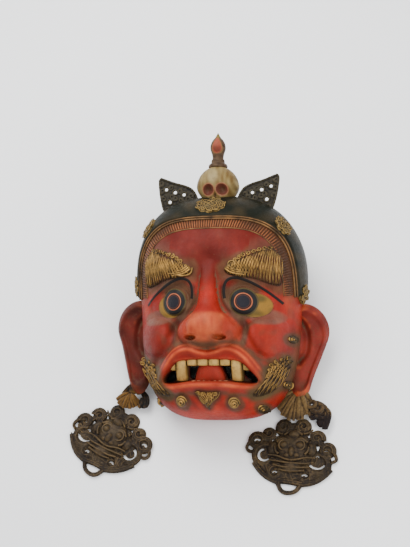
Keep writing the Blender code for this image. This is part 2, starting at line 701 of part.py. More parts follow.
# The two ear pendants, flat on the floor: scrolls round a face, cast as one plate and pierced
SCROLLS = [
    ((-14, 48), 10, 3, -60, 1.3, 3.8), ((17, 49), 9.5, 3, 240, -1.3, 3.8), ((-36, 38), 8, 3, 200, 1.0, 3.4),
    ((-54, 26), 10, 8, 0, 1.0, 3.6), ((-42, 3), 17, 12, 60, 0.75, 4.4), ((-25, -24), 11, 5, 30, 1.2, 4.2),
    ((20, -28), 12, 5, 150, -1.2, 4.4), ((40, -9), 18, 12, 190, 0.7, 4.6), ((38, 30), 9, 3, -20, 1.2, 3.6),
    ((53, 11), 10, 4, -30, 0.9, 3.6),
]
BARS = [
    ([(-62, 28), (-71, 18), (-68, 9), (-58, 8)], 3.0, 2.4), ([(56, 14), (65, 7), (69, -4), (60, -8)], 3.2, 2.4),
    ([(-58, -8), (-48, -22), (-36, -32), (-22, -38)], 4.2, 4.2), ([(60, -18), (48, -31), (32, -40), (17, -42)], 4.2, 4.2),
    ([(-22, -37), (-4, -38), (17, -42)], 4, 4), ([(-21, -38), (-14, -55), (6, -55), (16, -41)], 3.6, 3.6),
]
# Each piercing is a bent slot: centre, bend and half width, and the turns in degrees that it runs between
SLOTS = [
    ((-54, 24), 4.5, 2.2, 20, 160), ((-42, 4), 9, 2.4, 95, 320), ((39, -3), 14, 2.4, 215, 325),
    ((39, 0), 2.5, 1.6, 0, 180), ((-25, -26), 4, 2.0, 20, 160), ((20, -31), 4, 2.2, 20, 160), ((52, 9), 2, 1.5, 0, 180),
]


def slot(centre, bend, half, start, stop, count=9):
    angle = np.radians(np.linspace(start, stop, count))
    far = np.concatenate([np.full(count, bend + half), np.full(count, bend - half)])
    angle = np.concatenate([angle, angle[::-1]])
    return list(zip(centre[0] + far * np.cos(angle), centre[1] + far * np.sin(angle)))


# The silk leaves each ear at its lobe, and a pendant hangs below it, further out and askew on the left
LOBE_RIGHT = Vector((118 * UNIT_X, 47 * UNIT_Y, 0))
LOBE_LEFT = Vector((-137 * UNIT_X, 60 * UNIT_Y, 0))
for name, lobe, across, drop, turn, side in (
    ("pendant_right", LOBE_RIGHT, -0.0077, 0.0397, 0, 1), ("pendant_left", LOBE_LEFT, -0.0453, 0.0325, -30, -1),
):
    wide = PENDANT_WIDTH / 137
    tall = PENDANT_HEIGHT / 119
    high = PENDANT_THICKNESS / 16 / wide
    bm = bmesh.new()
    for spot, radii in (
        ((0, 8, 2), (36, 34, 5)), ((0, -18, 2), (32, 23, 5)), ((0, 14, 4), (24, 24, 9)), ((0, -16, 4), (17, 11, 8)),
        ((3, 35, 8), (9, 6, 6)), ((-12, 18, 10), (7, 6, 6)), ((12, 17, 10), (7, 6, 6)), ((0, 7, 11), (6, 8, 6)),
        ((-7, 2, 9), (5, 4, 4)), ((7, 2, 9), (5, 4, 4)), ((-30, 14, 4), (8, 11, 6)), ((30, 12, 4), (8, 11, 6)),
        ((2, 42, 2), (26, 14, 4)), ((-34, -14, 2), (18, 14, 4)), ((34, -24, 2), (20, 14, 4)),
    ):
        add_ball(bm, spot, radii, wide)
    add_tube(bm, rounded([(-22, 22), (-14, 29), (-3, 22)], 2), 2.6, 2.0, 11, wide)
    add_tube(bm, rounded([(3, 22), (14, 29), (23, 22)], 2), 2.0, 2.6, 11, wide)
    add_tube(bm, rounded([(-26, 2), (-12, -6), (0, -8), (12, -8), (27, -3)], 2), 2.4, 2.4, 9, wide)
    add_tube(bm, rounded([(-22, -7), (-8, -15), (8, -16), (22, -11)], 2), 2.2, 2.2, 8, wide)
    for centre, outer, inner, start, turns, radius in SCROLLS:
        add_tube(bm, spiral(centre, outer, inner, start, turns), radius, radius * 0.8, 4, wide)
        add_ball(bm, (*centre, 1.5), (outer + 3, outer + 3, 3.6), wide)
    for path, radius, end in BARS:
        add_tube(bm, rounded(path, 2), radius, end, 3.2, wide)
    pendant = mesh_object(name, bm, parts, dark_metal, footprint)
    step = pendant.modifiers.new("fuse", "REMESH")
    step.mode = "VOXEL"
    step.voxel_size = 0.0014
    bake(pendant)
    bm = bmesh.new()
    bm.from_mesh(pendant.data)
    bmesh.ops.bisect_plane(bm, geom=list(bm.verts) + list(bm.edges) + list(bm.faces), dist=1e-6,
                           plane_co=(0, 0, 0.0004), plane_no=(0, 0, -1), clear_outer=True)
    bmesh.ops.triangle_fill(bm, use_beauty=True, edges=[edge for edge in bm.edges if edge.is_boundary],
                            normal=(0, 0, -1))
    bmesh.ops.translate(bm, verts=bm.verts, vec=(0, 0, -0.0004))
    bmesh.ops.triangulate(bm, faces=bm.faces)
    face_outward(bm)
    bm.to_mesh(pendant.data)
    bm.free()
    for piercing in SLOTS:
        outline = [(x * wide / UNIT_X, y * wide / UNIT_Y) for x, y in slot(*piercing)]
        hole = prism_body("piercing", cutters, outline, -20, 40)
        hole.parent = footprint
        boolean(pendant, hole, "DIFFERENCE")
    pendant.data.transform(Matrix.Diagonal((side, tall / wide, high, 1)))
    if side < 0:
        pendant.data.flip_normals()
    thin(pendant, 800)
    lowest = min(vert.co.z for vert in pendant.data.vertices)
    pendant.data.transform(Matrix.Translation((0, 0, -lowest)))
    tidy(pendant)
    pendant.location = lobe + Vector((across, -PENDANT_HEIGHT / 2 - drop, 0))
    pendant.rotation_euler = (0, 0, math.radians(turn))

# The knotted silk ties from the ear lobes to the pendants: lumps of cloth, then folds of (points, start, end, level)
TIES = {
    "tie_right": (
        [((5, 4, 15), (11, 11, 10)), ((-9, -20, 10), (19, 18, 9)), ((29, -28, 8), (17, 17, 8)),
         ((36, -46, 6), (8, 10, 6))],
        [([(4, 6), (-12, 0), (-27, -14)], 6, 7, 12), ([(4, 4), (-10, -8), (-22, -28)], 6, 7, 12),
         ([(4, 4), (-5, -14), (-12, -38)], 6.5, 7, 12), ([(4, 4), (2, -16), (1, -39)], 6.5, 6, 12),
         ([(6, 4), (14, -2), (19, -12)], 6, 6, 12), ([(34, -18), (50, -28), (46, -46), (43, -58)], 4.5, 3.5, 8)],
    ),
    "tie_left": (
        [((-7, -6, 16), (12, 14, 9)), ((-15, -25, 11), (21, 13, 10)), ((-5, -37, 7), (13, 9, 7)),
         ((9, -26, 7), (12, 13, 7))],
        [([(-12, -8), (-26, -18), (-35, -24)], 6, 6, 11), ([(-6, 0), (6, -16), (8, -34)], 6, 6, 9)],
    ),
}
for name, ear, pendant, lobe, silk in (
    ("tie_right", ears[0], "pendant_right", LOBE_RIGHT, dull_silk),
    ("tie_left", ears[1], "pendant_left", LOBE_LEFT, dark_silk),
):
    unit = TIE_WIDTH / 66
    thick = TIE_THICKNESS / 24 / unit
    lumps, folds = TIES[name]
    bm = bmesh.new()
    for spot, radii in lumps:
        add_ball(bm, spot, radii, unit)
    for path, radius, end, level in folds:
        add_tube(bm, rounded(path, 1), radius, end, level, unit)
    tie = mesh_object(name, bm, parts, silk, footprint)
    tie.data.transform(Matrix.Diagonal((1, 1, thick, 1)))
    fused(tie, 0.0018, 270)
    tie.location = lobe + Vector((0, 0, TIE_LIFT))
    boolean(tie, grown(ear, SEAT_GAP * 1.3, "lobe_clearance", cutters), "DIFFERENCE")
    boolean(tie, grown(bpy.data.objects[pendant], SEAT_GAP * 2, "pendant_clearance", cutters), "DIFFERENCE")
    boolean(tie, grown(shell, SEAT_GAP * 1.3, "shell_clearance", cutters), "DIFFERENCE")
    tidy(tie)

# Everything about the middle of its footprint
bpy.context.view_layer.update()
corners = [item.matrix_world @ vert.co for item in parts.objects for vert in item.data.vertices]
middle_x = (min(c.x for c in corners) + max(c.x for c in corners)) / 2
middle_y = (min(c.y for c in corners) + max(c.y for c in corners)) / 2
footprint.location = (-middle_x, -middle_y, 0)
for item in cutters.objects:
    item.hide_render = True
    item.display_type = "WIRE"
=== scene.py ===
"""Looks of the tibetan cham mask: carved, painted wood, gilt hair, pierced metal pendants and silk ties."""
import math

import bmesh
import bpy
import numpy as np
from mathutils import Matrix, Vector


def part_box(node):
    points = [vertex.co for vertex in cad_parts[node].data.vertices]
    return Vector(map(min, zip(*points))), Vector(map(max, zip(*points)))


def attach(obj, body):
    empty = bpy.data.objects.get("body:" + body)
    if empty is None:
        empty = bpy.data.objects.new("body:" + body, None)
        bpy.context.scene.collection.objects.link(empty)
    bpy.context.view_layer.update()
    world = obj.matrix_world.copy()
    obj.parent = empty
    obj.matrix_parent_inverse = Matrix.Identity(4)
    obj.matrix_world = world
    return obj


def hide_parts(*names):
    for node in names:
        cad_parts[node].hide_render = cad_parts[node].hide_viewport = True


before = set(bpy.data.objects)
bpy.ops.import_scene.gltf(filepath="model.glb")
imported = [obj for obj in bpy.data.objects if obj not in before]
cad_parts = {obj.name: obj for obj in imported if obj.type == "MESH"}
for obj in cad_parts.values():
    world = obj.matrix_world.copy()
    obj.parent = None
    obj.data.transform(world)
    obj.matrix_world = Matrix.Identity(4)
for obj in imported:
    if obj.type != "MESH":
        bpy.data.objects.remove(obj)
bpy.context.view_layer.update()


# Mask axes: right, up and out of the face, leaning on the back rim.
# The place comes from the finial's tip in the frame; the sizes repeat those of the CAD part.
FACE_LEAN = math.radians(22)
CHIN_DEPTH = 0.022
UNIT = 0.001
TIP_UP, TIP_OUT = 0.4495, 0.018
finial_low, finial_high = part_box("finial")
mask_x = (finial_low[0] + finial_high[0]) / 2
mask_y = finial_high[1] - TIP_UP * math.cos(FACE_LEAN) + TIP_OUT * math.sin(FACE_LEAN)
lying = Matrix.Translation((mask_x, mask_y, CHIN_DEPTH)) @ Matrix.Rotation(FACE_LEAN, 4, "X")


def smooth(edge0, edge1, value):
    t = np.clip((value - edge0) / (edge1 - edge0), 0, 1)
    return t * t * (3 - 2 * t)


def swell(x, y, cx, cy, rx, ry, height):
    return height * np.exp(-((x - cx) / rx) ** 2 - ((y - cy) / ry) ** 2)


def pillow(x, y, cx, cy, rx, ry, height, edge=0.6):
    return height * np.clip(1 - ((x - cx) / rx) ** 2 - ((y - cy) / ry) ** 2, 0, None) ** edge


def bell(value, centre, width):
    return np.exp(-(((value - centre) / width) ** 2))


def higher(a, b, soft=3.0):
    t = np.clip(0.5 + 0.5 * (a - b) / soft, 0, 1)
    return b + (a - b) * t + soft * t * (1 - t)


def along(x, y, path):
    """Distance to a path, and how far along it the nearest place is."""
    best = np.full(np.shape(x), np.inf)
    where = np.zeros(np.shape(x))
    path = np.asarray(path, float)
    steps = np.hypot(*np.diff(path, axis=0).T)
    start = 0.0
    for (ax, ay), (bx, by), step in zip(path[:-1], path[1:], steps):
        t = np.clip(((x - ax) * (bx - ax) + (y - ay) * (by - ay)) / step**2, 0, 1)
        far = np.hypot(x - ax - t * (bx - ax), y - ay - t * (by - ay))
        where = np.where(far < best, (start + t * step) / steps.sum(), where)
        best = np.minimum(far, best)
        start += step
    return best, where


def rounded(points, rounds=3, closed=False):
    p = np.asarray(points, float)
    for _ in range(rounds):
        q = np.roll(p, -1, axis=0)
        cut = np.stack([0.75 * p + 0.25 * q, 0.25 * p + 0.75 * q], axis=1).reshape(-1, 2)
        p = cut if closed else np.vstack([p[:1], cut[:-2], p[-1:]])
    return p


def depth_inside(x, y, outline):
    """Distance to an outline, positive inside it."""
    closed = np.vstack([outline, outline[:1]])
    far, _ = along(x, y, closed)
    hit = np.zeros(np.shape(x), bool)
    for (ax, ay), (bx, by) in zip(closed[:-1], closed[1:]):
        if ay != by:
            crosses = (ay > y) != (by > y)
            hit ^= crosses & (x < ax + (y - ay) * (bx - ax) / (by - ay))
    return np.where(hit, far, -far)


def grain(x, y, size, seed=0.0):
    """A soft irregular field between -1 and 1, made of a few crossed waves."""
    total = 0
    for step in range(5):
        turn = seed + step * 2.4
        a = x * math.cos(turn) + y * math.sin(turn)
        b = x * math.sin(turn * 1.7) - y * math.cos(turn * 1.7)
        total = total + np.sin(a / size * (1 + 0.37 * step) + 1.3 * np.sin(b / size * 0.8 + turn))
    return total / 3.2


# The carving of the face, drawn in millimetres on a face 254 wide and 342 high.
# It repeats the CAD part's carving, then adds the lids, creases and folds too fine for it.
LIP = [(0, 99), (13, 101), (27, 107), (42, 104), (55, 94), (67, 77), (79, 60), (76, 51), (60, 49), (40, 52),
       (20, 54), (0, 54)]
MOUTH = [(-30, 92), (0, 92), (46, 91), (60, 77), (71, 63), (69, 57), (58, 54), (34, 58), (0, 59), (-30, 59)]
LID = [(45, 158), (33, 165), (25, 177), (23, 193), (27, 207), (40, 212), (60, 206), (80, 195), (96, 183),
       (111, 170)]
BROW = [(24, 228), (26, 217), (46, 211), (66, 210), (87, 203), (103, 200), (107, 218), (106, 240),
        (99, 253), (87, 258), (74, 249), (49, 238)]
BEARD = [(112, 96), (113, 78), (106, 61), (91, 45), (70, 36), (60, 39), (73, 50), (82, 63), (84, 78),
         (99, 88)]
TUFT = [(-22, 46), (0, 42), (17, 44), (4, 28), (-4, 17), (-12, 30)]
BOSSES = [(-44, 30, 9), (35, 28, 9), (72, 18, 8), (-100, 26, 8), (107, 54, 7), (117, 122, 6)]
BEARD_START, BEARD_SPREAD = 80, 1.45
# Half the nose's breadth, and its height, at places up the face.
NOSE_SIDE = [(106, 20), (113, 33), (122, 44), (132, 48), (142, 43), (152, 32), (162, 21), (175, 15),
             (205, 12), (240, 9)]
NOSE_CREST = [(106, 0), (112, 10), (119, 28), (129, 39), (142, 41), (154, 37), (162, 30), (174, 18),
              (192, 12), (212, 8), (240, 0)]
NOSE_WING = [(17, 160), (25, 151), (28, 141), (26, 130)]
FOLD = [(46, 156), (56, 128), (66, 108), (84, 88), (100, 66), (98, 44)]
# The same lines with their corners rounded off.
LIP_LINE, LID_LINE, FOLD_LINE, NOSE_SIDE, NOSE_CREST = map(rounded, (LIP, LID, FOLD, NOSE_SIDE, NOSE_CREST))
LIP_RING, MOUTH_RING = rounded([(-40, 97)] + LIP + [(-40, 52)], 2), rounded(MOUTH, 2)
BROW_RING, BEARD_RING, TUFT_RING = [rounded(ring, 2, closed=True) for ring in (BROW, BEARD, TUFT)]
# The plain dome under the carving, and the headband's front edge as a rounded arch over its middle.
HALF_W, HALF_H, DOME_HIGH = 127, 171, 116
JAW_POWER, CROWN_ROUND, SIDE_POWER, CROWN_POWER = 3.3, 0.6, 1.8, 2.9
JAW_TAPER, RIM_TUCK, OUTLINE_BACK = 0.075, 0.05, 12
ARCH_W, ARCH_H, ARCH_POWER = 120, 132, 3.5


def beard_x(x):
    """Places of the right jaw's beard; the left one runs further back."""
    ax = np.abs(x)
    return np.where((x < 0) & (ax > BEARD_START), BEARD_START + (ax - BEARD_START) / BEARD_SPREAD, ax)


def nose_height(x, y):
    """A nose that widens from the bridge to its wings, with slit nostrils under them."""
    ax = np.abs(x)
    wide = np.interp(y, NOSE_SIDE[:, 0], NOSE_SIDE[:, 1])
    high = np.interp(y, NOSE_CREST[:, 0], NOSE_CREST[:, 1])
    h = high * np.clip(1 - (ax / wide) ** 2.3, 0, 1) ** 0.6
    crease, where = along(ax, y, rounded(NOSE_WING, 2))
    h = h - 3.5 * bell(crease, 0, 3.2) * smooth(0, 0.3, where)
    return h - pillow(ax, y, 21, 123, 10, 4.5, 16, 0.8)


def carve(x, y):
    """Height of the carving over the plain dome."""
    ax = np.abs(x)
    h = swell(x, y, 0, 262, 52, 34, 4) + swell(ax, y, 66, 238, 34, 26, 12)
    h -= swell(x, y, 0, 236, 11, 18, 3) + swell(ax, y, 60, 184, 36, 26, 9)
    h += swell(ax, y, 30, 80, 58, 44, 13) + swell(x, y, 0, 22, 66, 22, 8)
    h = higher(h, h - 2 + pillow(ax, y, 86, 126, 36, 30, 22, 0.7), 4)
    h -= swell(ax, y, 52, 142, 9, 16, 6)
    h = h + nose_height(x, y)
    white = pillow(ax, y, 67, 174, 31, 20, 11, 0.6)
    ball = pillow(ax, y, 52, 178, 22, 22, 20, 0.55)
    h = higher(h, h - 4 + higher(white, ball, 3), 2)
    lid, where = along(ax, y, LID_LINE)
    h = h + 5.5 * bell(lid, 0, 5.0) * smooth(0, 0.1, where) * smooth(1.0, 0.8, where)
    lip, _ = along(ax, y, LIP_LINE)
    h = h + 9.5 * bell(lip, 0, 7.2)
    h = h - 28 * smooth(-1.5, 5.5, depth_inside(ax, y, MOUTH_RING))
    fold, where = along(ax, y, FOLD_LINE)
    h = h - 5 * bell(fold, 0, 6) * smooth(0, 0.15, where) * smooth(1, 0.8, where)
    h = h + 4.0 * smooth(-1, 4, depth_inside(ax, y, BROW_RING))
    h = h + 3.5 * smooth(-1, 4, depth_inside(beard_x(x), y, BEARD_RING))
    h = h + 3.5 * smooth(-1, 4, depth_inside(x, y, TUFT_RING))
    for bx, by, radius in BOSSES:
        h = h + pillow(x, y, bx, by, radius, radius, 5, 0.5)
    return h


def power_at(sine):
    return SIDE_POWER + (CROWN_POWER - SIDE_POWER) * sine**2


def outline_power(sine):
    """The outline is squarer at the jaw and rounder over the crown."""
    return JAW_POWER - CROWN_ROUND * smooth(0.0, 0.8, sine)


def rim_depth(y):
    return -(y * math.sin(FACE_LEAN) + CHIN_DEPTH / UNIT) / math.cos(FACE_LEAN)


def arch_at(x, y):
    """Under 1 on the brow, 1 along the headband's front edge, over 1 on the band."""
    across, up = (np.abs(x) / ARCH_W) ** ARCH_POWER, (np.abs(y - HALF_H) / ARCH_H) ** ARCH_POWER
    return (across + up) ** (1 / ARCH_POWER)


def band_height(x, y, wall):
    return 6 * smooth(0.99, 1.015, arch_at(x, y)) * smooth(0.75, 0.25, wall) * smooth(186, 194, y)


def head_surface(s, t, side=0.0, front=0.0, below=0.0, carved=True):
    """Points of the mask for places s, t of a square from -1 to 1."""
    half_w, half_h, deep = HALF_W - side, HALF_H - side, DOME_HIGH - front
    p, q = s * np.sqrt(1 - t * t / 2), t * np.sqrt(1 - s * s / 2)
    out, way = np.hypot(p, q), np.arctan2(q, p)
    cos, sin = np.cos(way), np.sin(way)
    power, edging = power_at(sin), outline_power(sin)
    reach = (np.abs(cos / half_w) ** edging + np.abs(sin / half_h) ** edging) ** (-1 / edging)
    face, turned, share = 0.82, 0.92, 0.90
    edge = np.arcsin(share ** (power / 2))
    angle = edge + (math.pi / 2 - edge) * np.clip((out - face) / (turned - face), 0, 1)
    u = np.where(out < face, out / face * share, np.sin(angle) ** (2 / power))
    z = deep * np.clip(1 - np.clip(u, 0, 1) ** power, 0, 1) ** (1 / power)
    wall = np.clip((out - turned) / (1 - turned), 0, 1)
    x, y = reach * cos * u, reach * sin * u
    x, y = x * (1 - RIM_TUCK * wall**2), y * (1 - RIM_TUCK * wall**2)
    x = x * (1 + JAW_TAPER * np.clip(y / half_h, -1, 1))
    norm = np.abs(x / half_w) ** edging + np.abs(y / half_h) ** edging + 1e-9
    k = norm ** (power / edging - 1)
    nx = k * np.sign(x) * np.abs(x / half_w) ** (edging - 1) / half_w
    ny = k * np.sign(y) * np.abs(y / half_h) ** (edging - 1) / half_h
    nz = np.where(wall > 0, 0, (z / deep) ** (power - 1) / deep)
    normal = np.stack([nx, ny, nz]) / (np.sqrt(nx**2 + ny**2 + nz**2) + 1e-12)
    up = y + HALF_H
    z = z - OUTLINE_BACK + wall * (rim_depth(up) + OUTLINE_BACK) * (1 + below)
    if carved:
        z = z + carve(x, up) * smooth(1.0, 0.9, u) * (wall == 0)
        raised = band_height(x, up, wall)
        x, up, z = x + normal[0] * raised, up + normal[1] * raised, z + normal[2] * raised
    return np.stack([x, up, z], axis=-1)


def reach_share(x, y, side=0.0):
    """0 in the middle of the face and 1 on its outline, with the sine of the way there."""
    x = x / (1 + JAW_TAPER * np.clip((y - HALF_H) / HALF_H, -1, 1))
    y = y - HALF_H
    sine = y / (np.hypot(x, y) + 1e-9)
    edging = outline_power(sine)
    share = (np.abs(x / (HALF_W - side)) ** edging + np.abs(y / (HALF_H - side)) ** edging) ** (1 / edging)
    return share, sine


def plain_depth(x, y):
    """Depth of the dome under the carving at a place on the face."""
    u, sine = reach_share(x, y)
    power = power_at(sine)
    return DOME_HIGH * (1 - np.clip(u, 0, 0.999) ** power) ** (1 / power) - OUTLINE_BACK


def skin_depth(x, y):
    """Depth of the carved front at a place on the face."""
    u, _ = reach_share(x, y)
    return plain_depth(x, y) + carve(x, y) * smooth(1.0, 0.9, np.clip(u, 0, 0.999))


def skin_point(x, y, rise):
    """A place on the carved front, raised along the skin's own normal."""
    z = skin_depth(x, y)
    dx = np.clip((skin_depth(x + 0.5, y) - skin_depth(x - 0.5, y)), -3, 3)
    dy = np.clip((skin_depth(x, y + 0.5) - skin_depth(x, y - 0.5)), -3, 3)
    size = np.sqrt(dx**2 + dy**2 + 1)
    return np.stack([x - dx / size * rise, y - dy / size * rise, z + rise / size], axis=-1)


# Building and painting helpers: a mesh from millimetres in mask axes, and colours kept as attributes.
STUDIO_LIGHT = 2.0


def colour(red, green, blue):
    """The paint that shows as this screen colour in the studio's light, through the film's soft curve."""
    part = np.array([red, green, blue]) / 255
    mean = part.mean()
    strength = 3.93 - 1.35 / (mean + 0.05)
    shown = np.exp(-0.89 + 1.54 * np.log(part) + 0.78 * part + strength * (part - mean))
    return np.maximum(shown - 0.012, 0.004) / STUDIO_LIGHT


def face_outward(bm):
    bmesh.ops.recalc_face_normals(bm, faces=bm.faces)
    if bm.calc_volume(signed=True) < 0:
        bmesh.ops.reverse_faces(bm, faces=bm.faces)


def piece(name, bm, place=None):
    """A smooth mesh piece from a closed bmesh in millimetres."""
    face_outward(bm)
    bmesh.ops.scale(bm, vec=(UNIT, UNIT, UNIT), verts=bm.verts)
    bmesh.ops.transform(bm, matrix=place or Matrix.Identity(4), verts=bm.verts)
    mesh = bpy.data.meshes.new(name)
    bm.to_mesh(mesh)
    bm.free()
    mesh.shade_smooth()
    made = bpy.data.objects.new(name, mesh)
    bpy.context.scene.collection.objects.link(made)
    return made


def each_point(made, key):
    """The places ("co") or the normals ("normal") of a piece's points, one to a row."""
    values = np.zeros(len(made.data.vertices) * 3)
    made.data.vertices.foreach_get(key, values)
    return values.reshape(-1, 3)


def places(made, place):
    """A piece's points in millimetres, in its own axes."""
    back = place.inverted()
    return (each_point(made, "co") @ np.array(back.to_3x3()).T + np.array(back.translation)) / UNIT


def set_field(made, name, values):
    values = np.asarray(values, float)
    if values.ndim == 2:
        layer = made.data.color_attributes.new(name, "FLOAT_COLOR", "POINT")
        flat = np.ones((len(values), 4), np.float32)
        flat[:, :3] = values
        layer.data.foreach_set("color", flat.ravel())
    else:
        layer = made.data.attributes.new(name, "FLOAT", "POINT")
        layer.data.foreach_set("value", values.astype(np.float32))


def mix(tone, paint, amount):
    """A tone moved towards a paint; three numbers in brackets are a screen colour."""
    paint = colour(*paint) if isinstance(paint, tuple) else paint
    return tone + (paint - tone) * np.clip(amount, 0, 1)[..., None]


def hollows(made, rounds):
    """How far each point lies under (+) or over (-) the mean of what is round it, in millimetres."""
    mesh = made.data
    count = len(mesh.vertices)
    co = each_point(made, "co") / UNIT
    ends = np.zeros(len(mesh.edges) * 2, np.int32)
    mesh.edges.foreach_get("vertices", ends)
    a, b = ends.reshape(-1, 2).T
    links = np.bincount(a, minlength=count) + np.bincount(b, minlength=count)
    mean = co.copy()
    for _ in range(rounds):
        total = np.stack([np.bincount(a, mean[b, k], count) + np.bincount(b, mean[a, k], count)
                          for k in range(3)], axis=1)
        mean = 0.3 * mean + 0.7 * total / np.maximum(links, 1)[:, None]
    return ((mean - co) * each_point(made, "normal")).sum(axis=1)


class Nodes:
    """A short way to write a material's node tree."""

    def __init__(self, name):
        self.material = bpy.data.materials.new(name)
        self.material.use_nodes = True
        self.tree = self.material.node_tree
        self.shader = self.tree.nodes["Principled BSDF"]
        self.place = self.add("ShaderNodeTexCoord").outputs["Object"]

    def add(self, kind, **inputs):
        node = self.tree.nodes.new(kind)
        for key, value in inputs.items():
            self.put(node.inputs[key.replace("_", " ")], value)
        return node

    def put(self, socket, value):
        if isinstance(value, bpy.types.NodeSocket):
            self.tree.links.new(value, socket)
        else:
            socket.default_value = value

    def noise(self, scale, detail=3.0, rough=0.55, stretch=None):
        place = self.place
        if stretch:
            mapping = self.add("ShaderNodeMapping", Vector=place, Scale=stretch)
            place = mapping.outputs["Vector"]
        node = self.add("ShaderNodeTexNoise", Vector=place, Scale=scale, Detail=detail, Roughness=rough)
        return node.outputs["Fac"]

    def field(self, name, socket="Fac"):
        node = self.add("ShaderNodeAttribute")
        node.attribute_name = name
        return node.outputs[socket]

    def maths(self, operation, first, second, third=None):
        node = self.add("ShaderNodeMath")
        node.operation = operation
        self.put(node.inputs[0], first)
        self.put(node.inputs[1], second)
        if third is not None:
            self.put(node.inputs[2], third)
        return node.outputs[0]

    def spread(self, value, low, high, to_low=0.0, to_high=1.0):
        node = self.add("ShaderNodeMapRange")
        self.put(node.inputs["Value"], value)
        for key, number in zip(("From Min", "From Max", "To Min", "To Max"), (low, high, to_low, to_high)):
            node.inputs[key].default_value = number
        return node.outputs["Result"]

    def blend(self, factor, first, second, mode="MIX"):
        node = self.add("ShaderNodeMix")
        node.data_type = "RGBA"
        node.blend_type = mode
        self.put(node.inputs["Factor"], factor)
        for key, value in (("A", first), ("B", second)):
            socket = [item for item in node.inputs if item.name == key and item.type == "RGBA"][0]
            if not isinstance(value, bpy.types.NodeSocket):
                value = (*value, 1)
            self.put(socket, value)
        return [item for item in node.outputs if item.type == "RGBA"][0]

    def bump(self, height, strength, distance, under=None):
        node = self.add("ShaderNodeBump", Height=height, Strength=strength, Distance=distance)
        if under:
            self.put(node.inputs["Normal"], under)
        return node.outputs["Normal"]

    def finish(self, **inputs):
        for key, value in inputs.items():
            self.put(self.shader.inputs[key.replace("_", " ")], value)
        return self.material


def worn_paint(name, drawn=None):
    """Old water paint on wood: brushed colour, rubbed thin on the crests and muddied in the hollows."""
    n = Nodes(name)
    tone = n.field("tone", "Color")
    broad, fine, speck = n.noise(34, 4), n.noise(190, 5, 0.65), n.noise(900, 3, 0.6)
    streak = n.noise(85, 4, 0.6, stretch=(1.0, 0.25, 1.0))
    dim = n.blend(n.spread(broad, 0.38, 0.68, 0.0, 0.75), tone, (0.62, 0.5, 0.52), "MULTIPLY")
    lit = n.blend(n.spread(streak, 0.5, 0.78, 0.0, 0.8), dim, (1.28, 1.35, 1.2), "MULTIPLY")
    keep = n.blend(n.field("plain"), lit, tone)
    dusty = n.maths("MULTIPLY_ADD", n.maths("SUBTRACT", fine, 0.5), 1.7, n.field("dirt"))
    dusty = n.spread(dusty, 0.2, 0.95)
    mud = n.blend(n.spread(broad, 0.3, 0.7), colour(86, 64, 50), colour(134, 102, 78))
    muddy = n.blend(dusty, keep, mud)
    if drawn:
        muddy = drawn(n, muddy)
    cell = n.add("ShaderNodeTexVoronoi", Vector=n.place, Scale=75.0)
    chip = n.maths("MULTIPLY", n.spread(cell.outputs["Distance"], 0.0, 0.035, 1, 0), n.spread(fine, 0.5, 0.6))
    spotted = n.blend(n.maths("MULTIPLY", chip, 0.6), muddy, colour(196, 160, 130))
    final = n.blend(n.spread(speck, 0.3, 0.7, 0.0, 0.25), spotted, colour(62, 42, 38))
    rough = n.spread(fine, 0.3, 0.75, 0.42, 0.62)
    rough = n.maths("ADD", rough, n.maths("MULTIPLY", dusty, 0.2))
    normal = n.bump(fine, 0.3, 0.0014, n.bump(speck, 0.2, 0.0005))
    return n.finish(Base_Color=final, Roughness=rough, Normal=normal, Specular_IOR_Level=0.07)


def worn_gilt(name="worn_gilt", bright=(204, 172, 110), dull=(62, 46, 32)):
    """Old gilding or old bronze: bright on the ridges, dull in the grooves, and on the gilt hair a painted
    highlight.
    """
    n = Nodes(name)
    fine, speck = n.noise(230, 4, 0.6), n.noise(1100, 3)
    level = n.maths("MULTIPLY_ADD", n.maths("SUBTRACT", fine, 0.5), 0.9, n.field("wear_and_painted_light"))
    tone = n.blend(n.spread(level, 0.15, 0.85), colour(*dull), colour(*bright))
    middle = colour(*(np.array(bright) * 0.55 + np.array(dull) * 0.3))
    tone = n.blend(n.spread(n.noise(70), 0.45, 0.7, 0, 0.6), tone, middle)
    rough = n.spread(level, 0.2, 0.9, 0.62, 0.36)
    metal = n.spread(level, 0.5, 1.0, 0.0, 0.3)
    return n.finish(Base_Color=tone, Roughness=rough, Metallic=metal, Normal=n.bump(speck, 0.25, 0.0004),
                    Specular_IOR_Level=0.12)


paint = worn_paint("worn_paint")
gilt = worn_gilt()


# The carved face: a fine skin over the CAD shell, hollowed and pierced through the mouth like it.
# Paint is worked out from the carving: red fields, orange rubbed crests, mud in the hollows, green band.
# It also holds painted highlights on the nose and the lips, and painted shade over the upper forehead.
def prism(outline, back, front):
    """An outline given thickness, from one depth to another."""
    bm = bmesh.new()
    face = bm.faces.new([bm.verts.new((x, y, back)) for x, y in outline])
    made = bmesh.ops.extrude_face_region(bm, geom=[face])
    rise = [item for item in made["geom"] if isinstance(item, bmesh.types.BMVert)]
    bmesh.ops.translate(bm, verts=rise, vec=(0, 0, front - back))
    return bm


def shaped(bm, surface):
    """Move the points of a flat grid or a globe to the surface that is drawn over it."""
    start = np.array([vert.co[:] for vert in bm.verts])
    for vert, spot in zip(bm.verts, surface(start[:, 0], start[:, 1], start[:, 2])):
        vert.co = spot


def head_body(columns, rows, **shape):
    bm = bmesh.new()
    bmesh.ops.create_grid(bm, x_segments=columns, y_segments=rows, size=1)
    shaped(bm, lambda s, t, _: head_surface(s, t, **shape))
    bmesh.ops.contextual_create(bm, geom=[edge for edge in bm.edges if edge.is_boundary])
    return bm


def cut_away(target, other):
    step = target.modifiers.new("cut", "BOOLEAN")
    step.operation = "DIFFERENCE"
    step.solver = "EXACT"
    step.object = other
    graph = bpy.context.evaluated_depsgraph_get()
    mesh = bpy.data.meshes.new_from_object(target.evaluated_get(graph))
    target.modifiers.clear()
    target.data = mesh
    bpy.data.objects.remove(other)


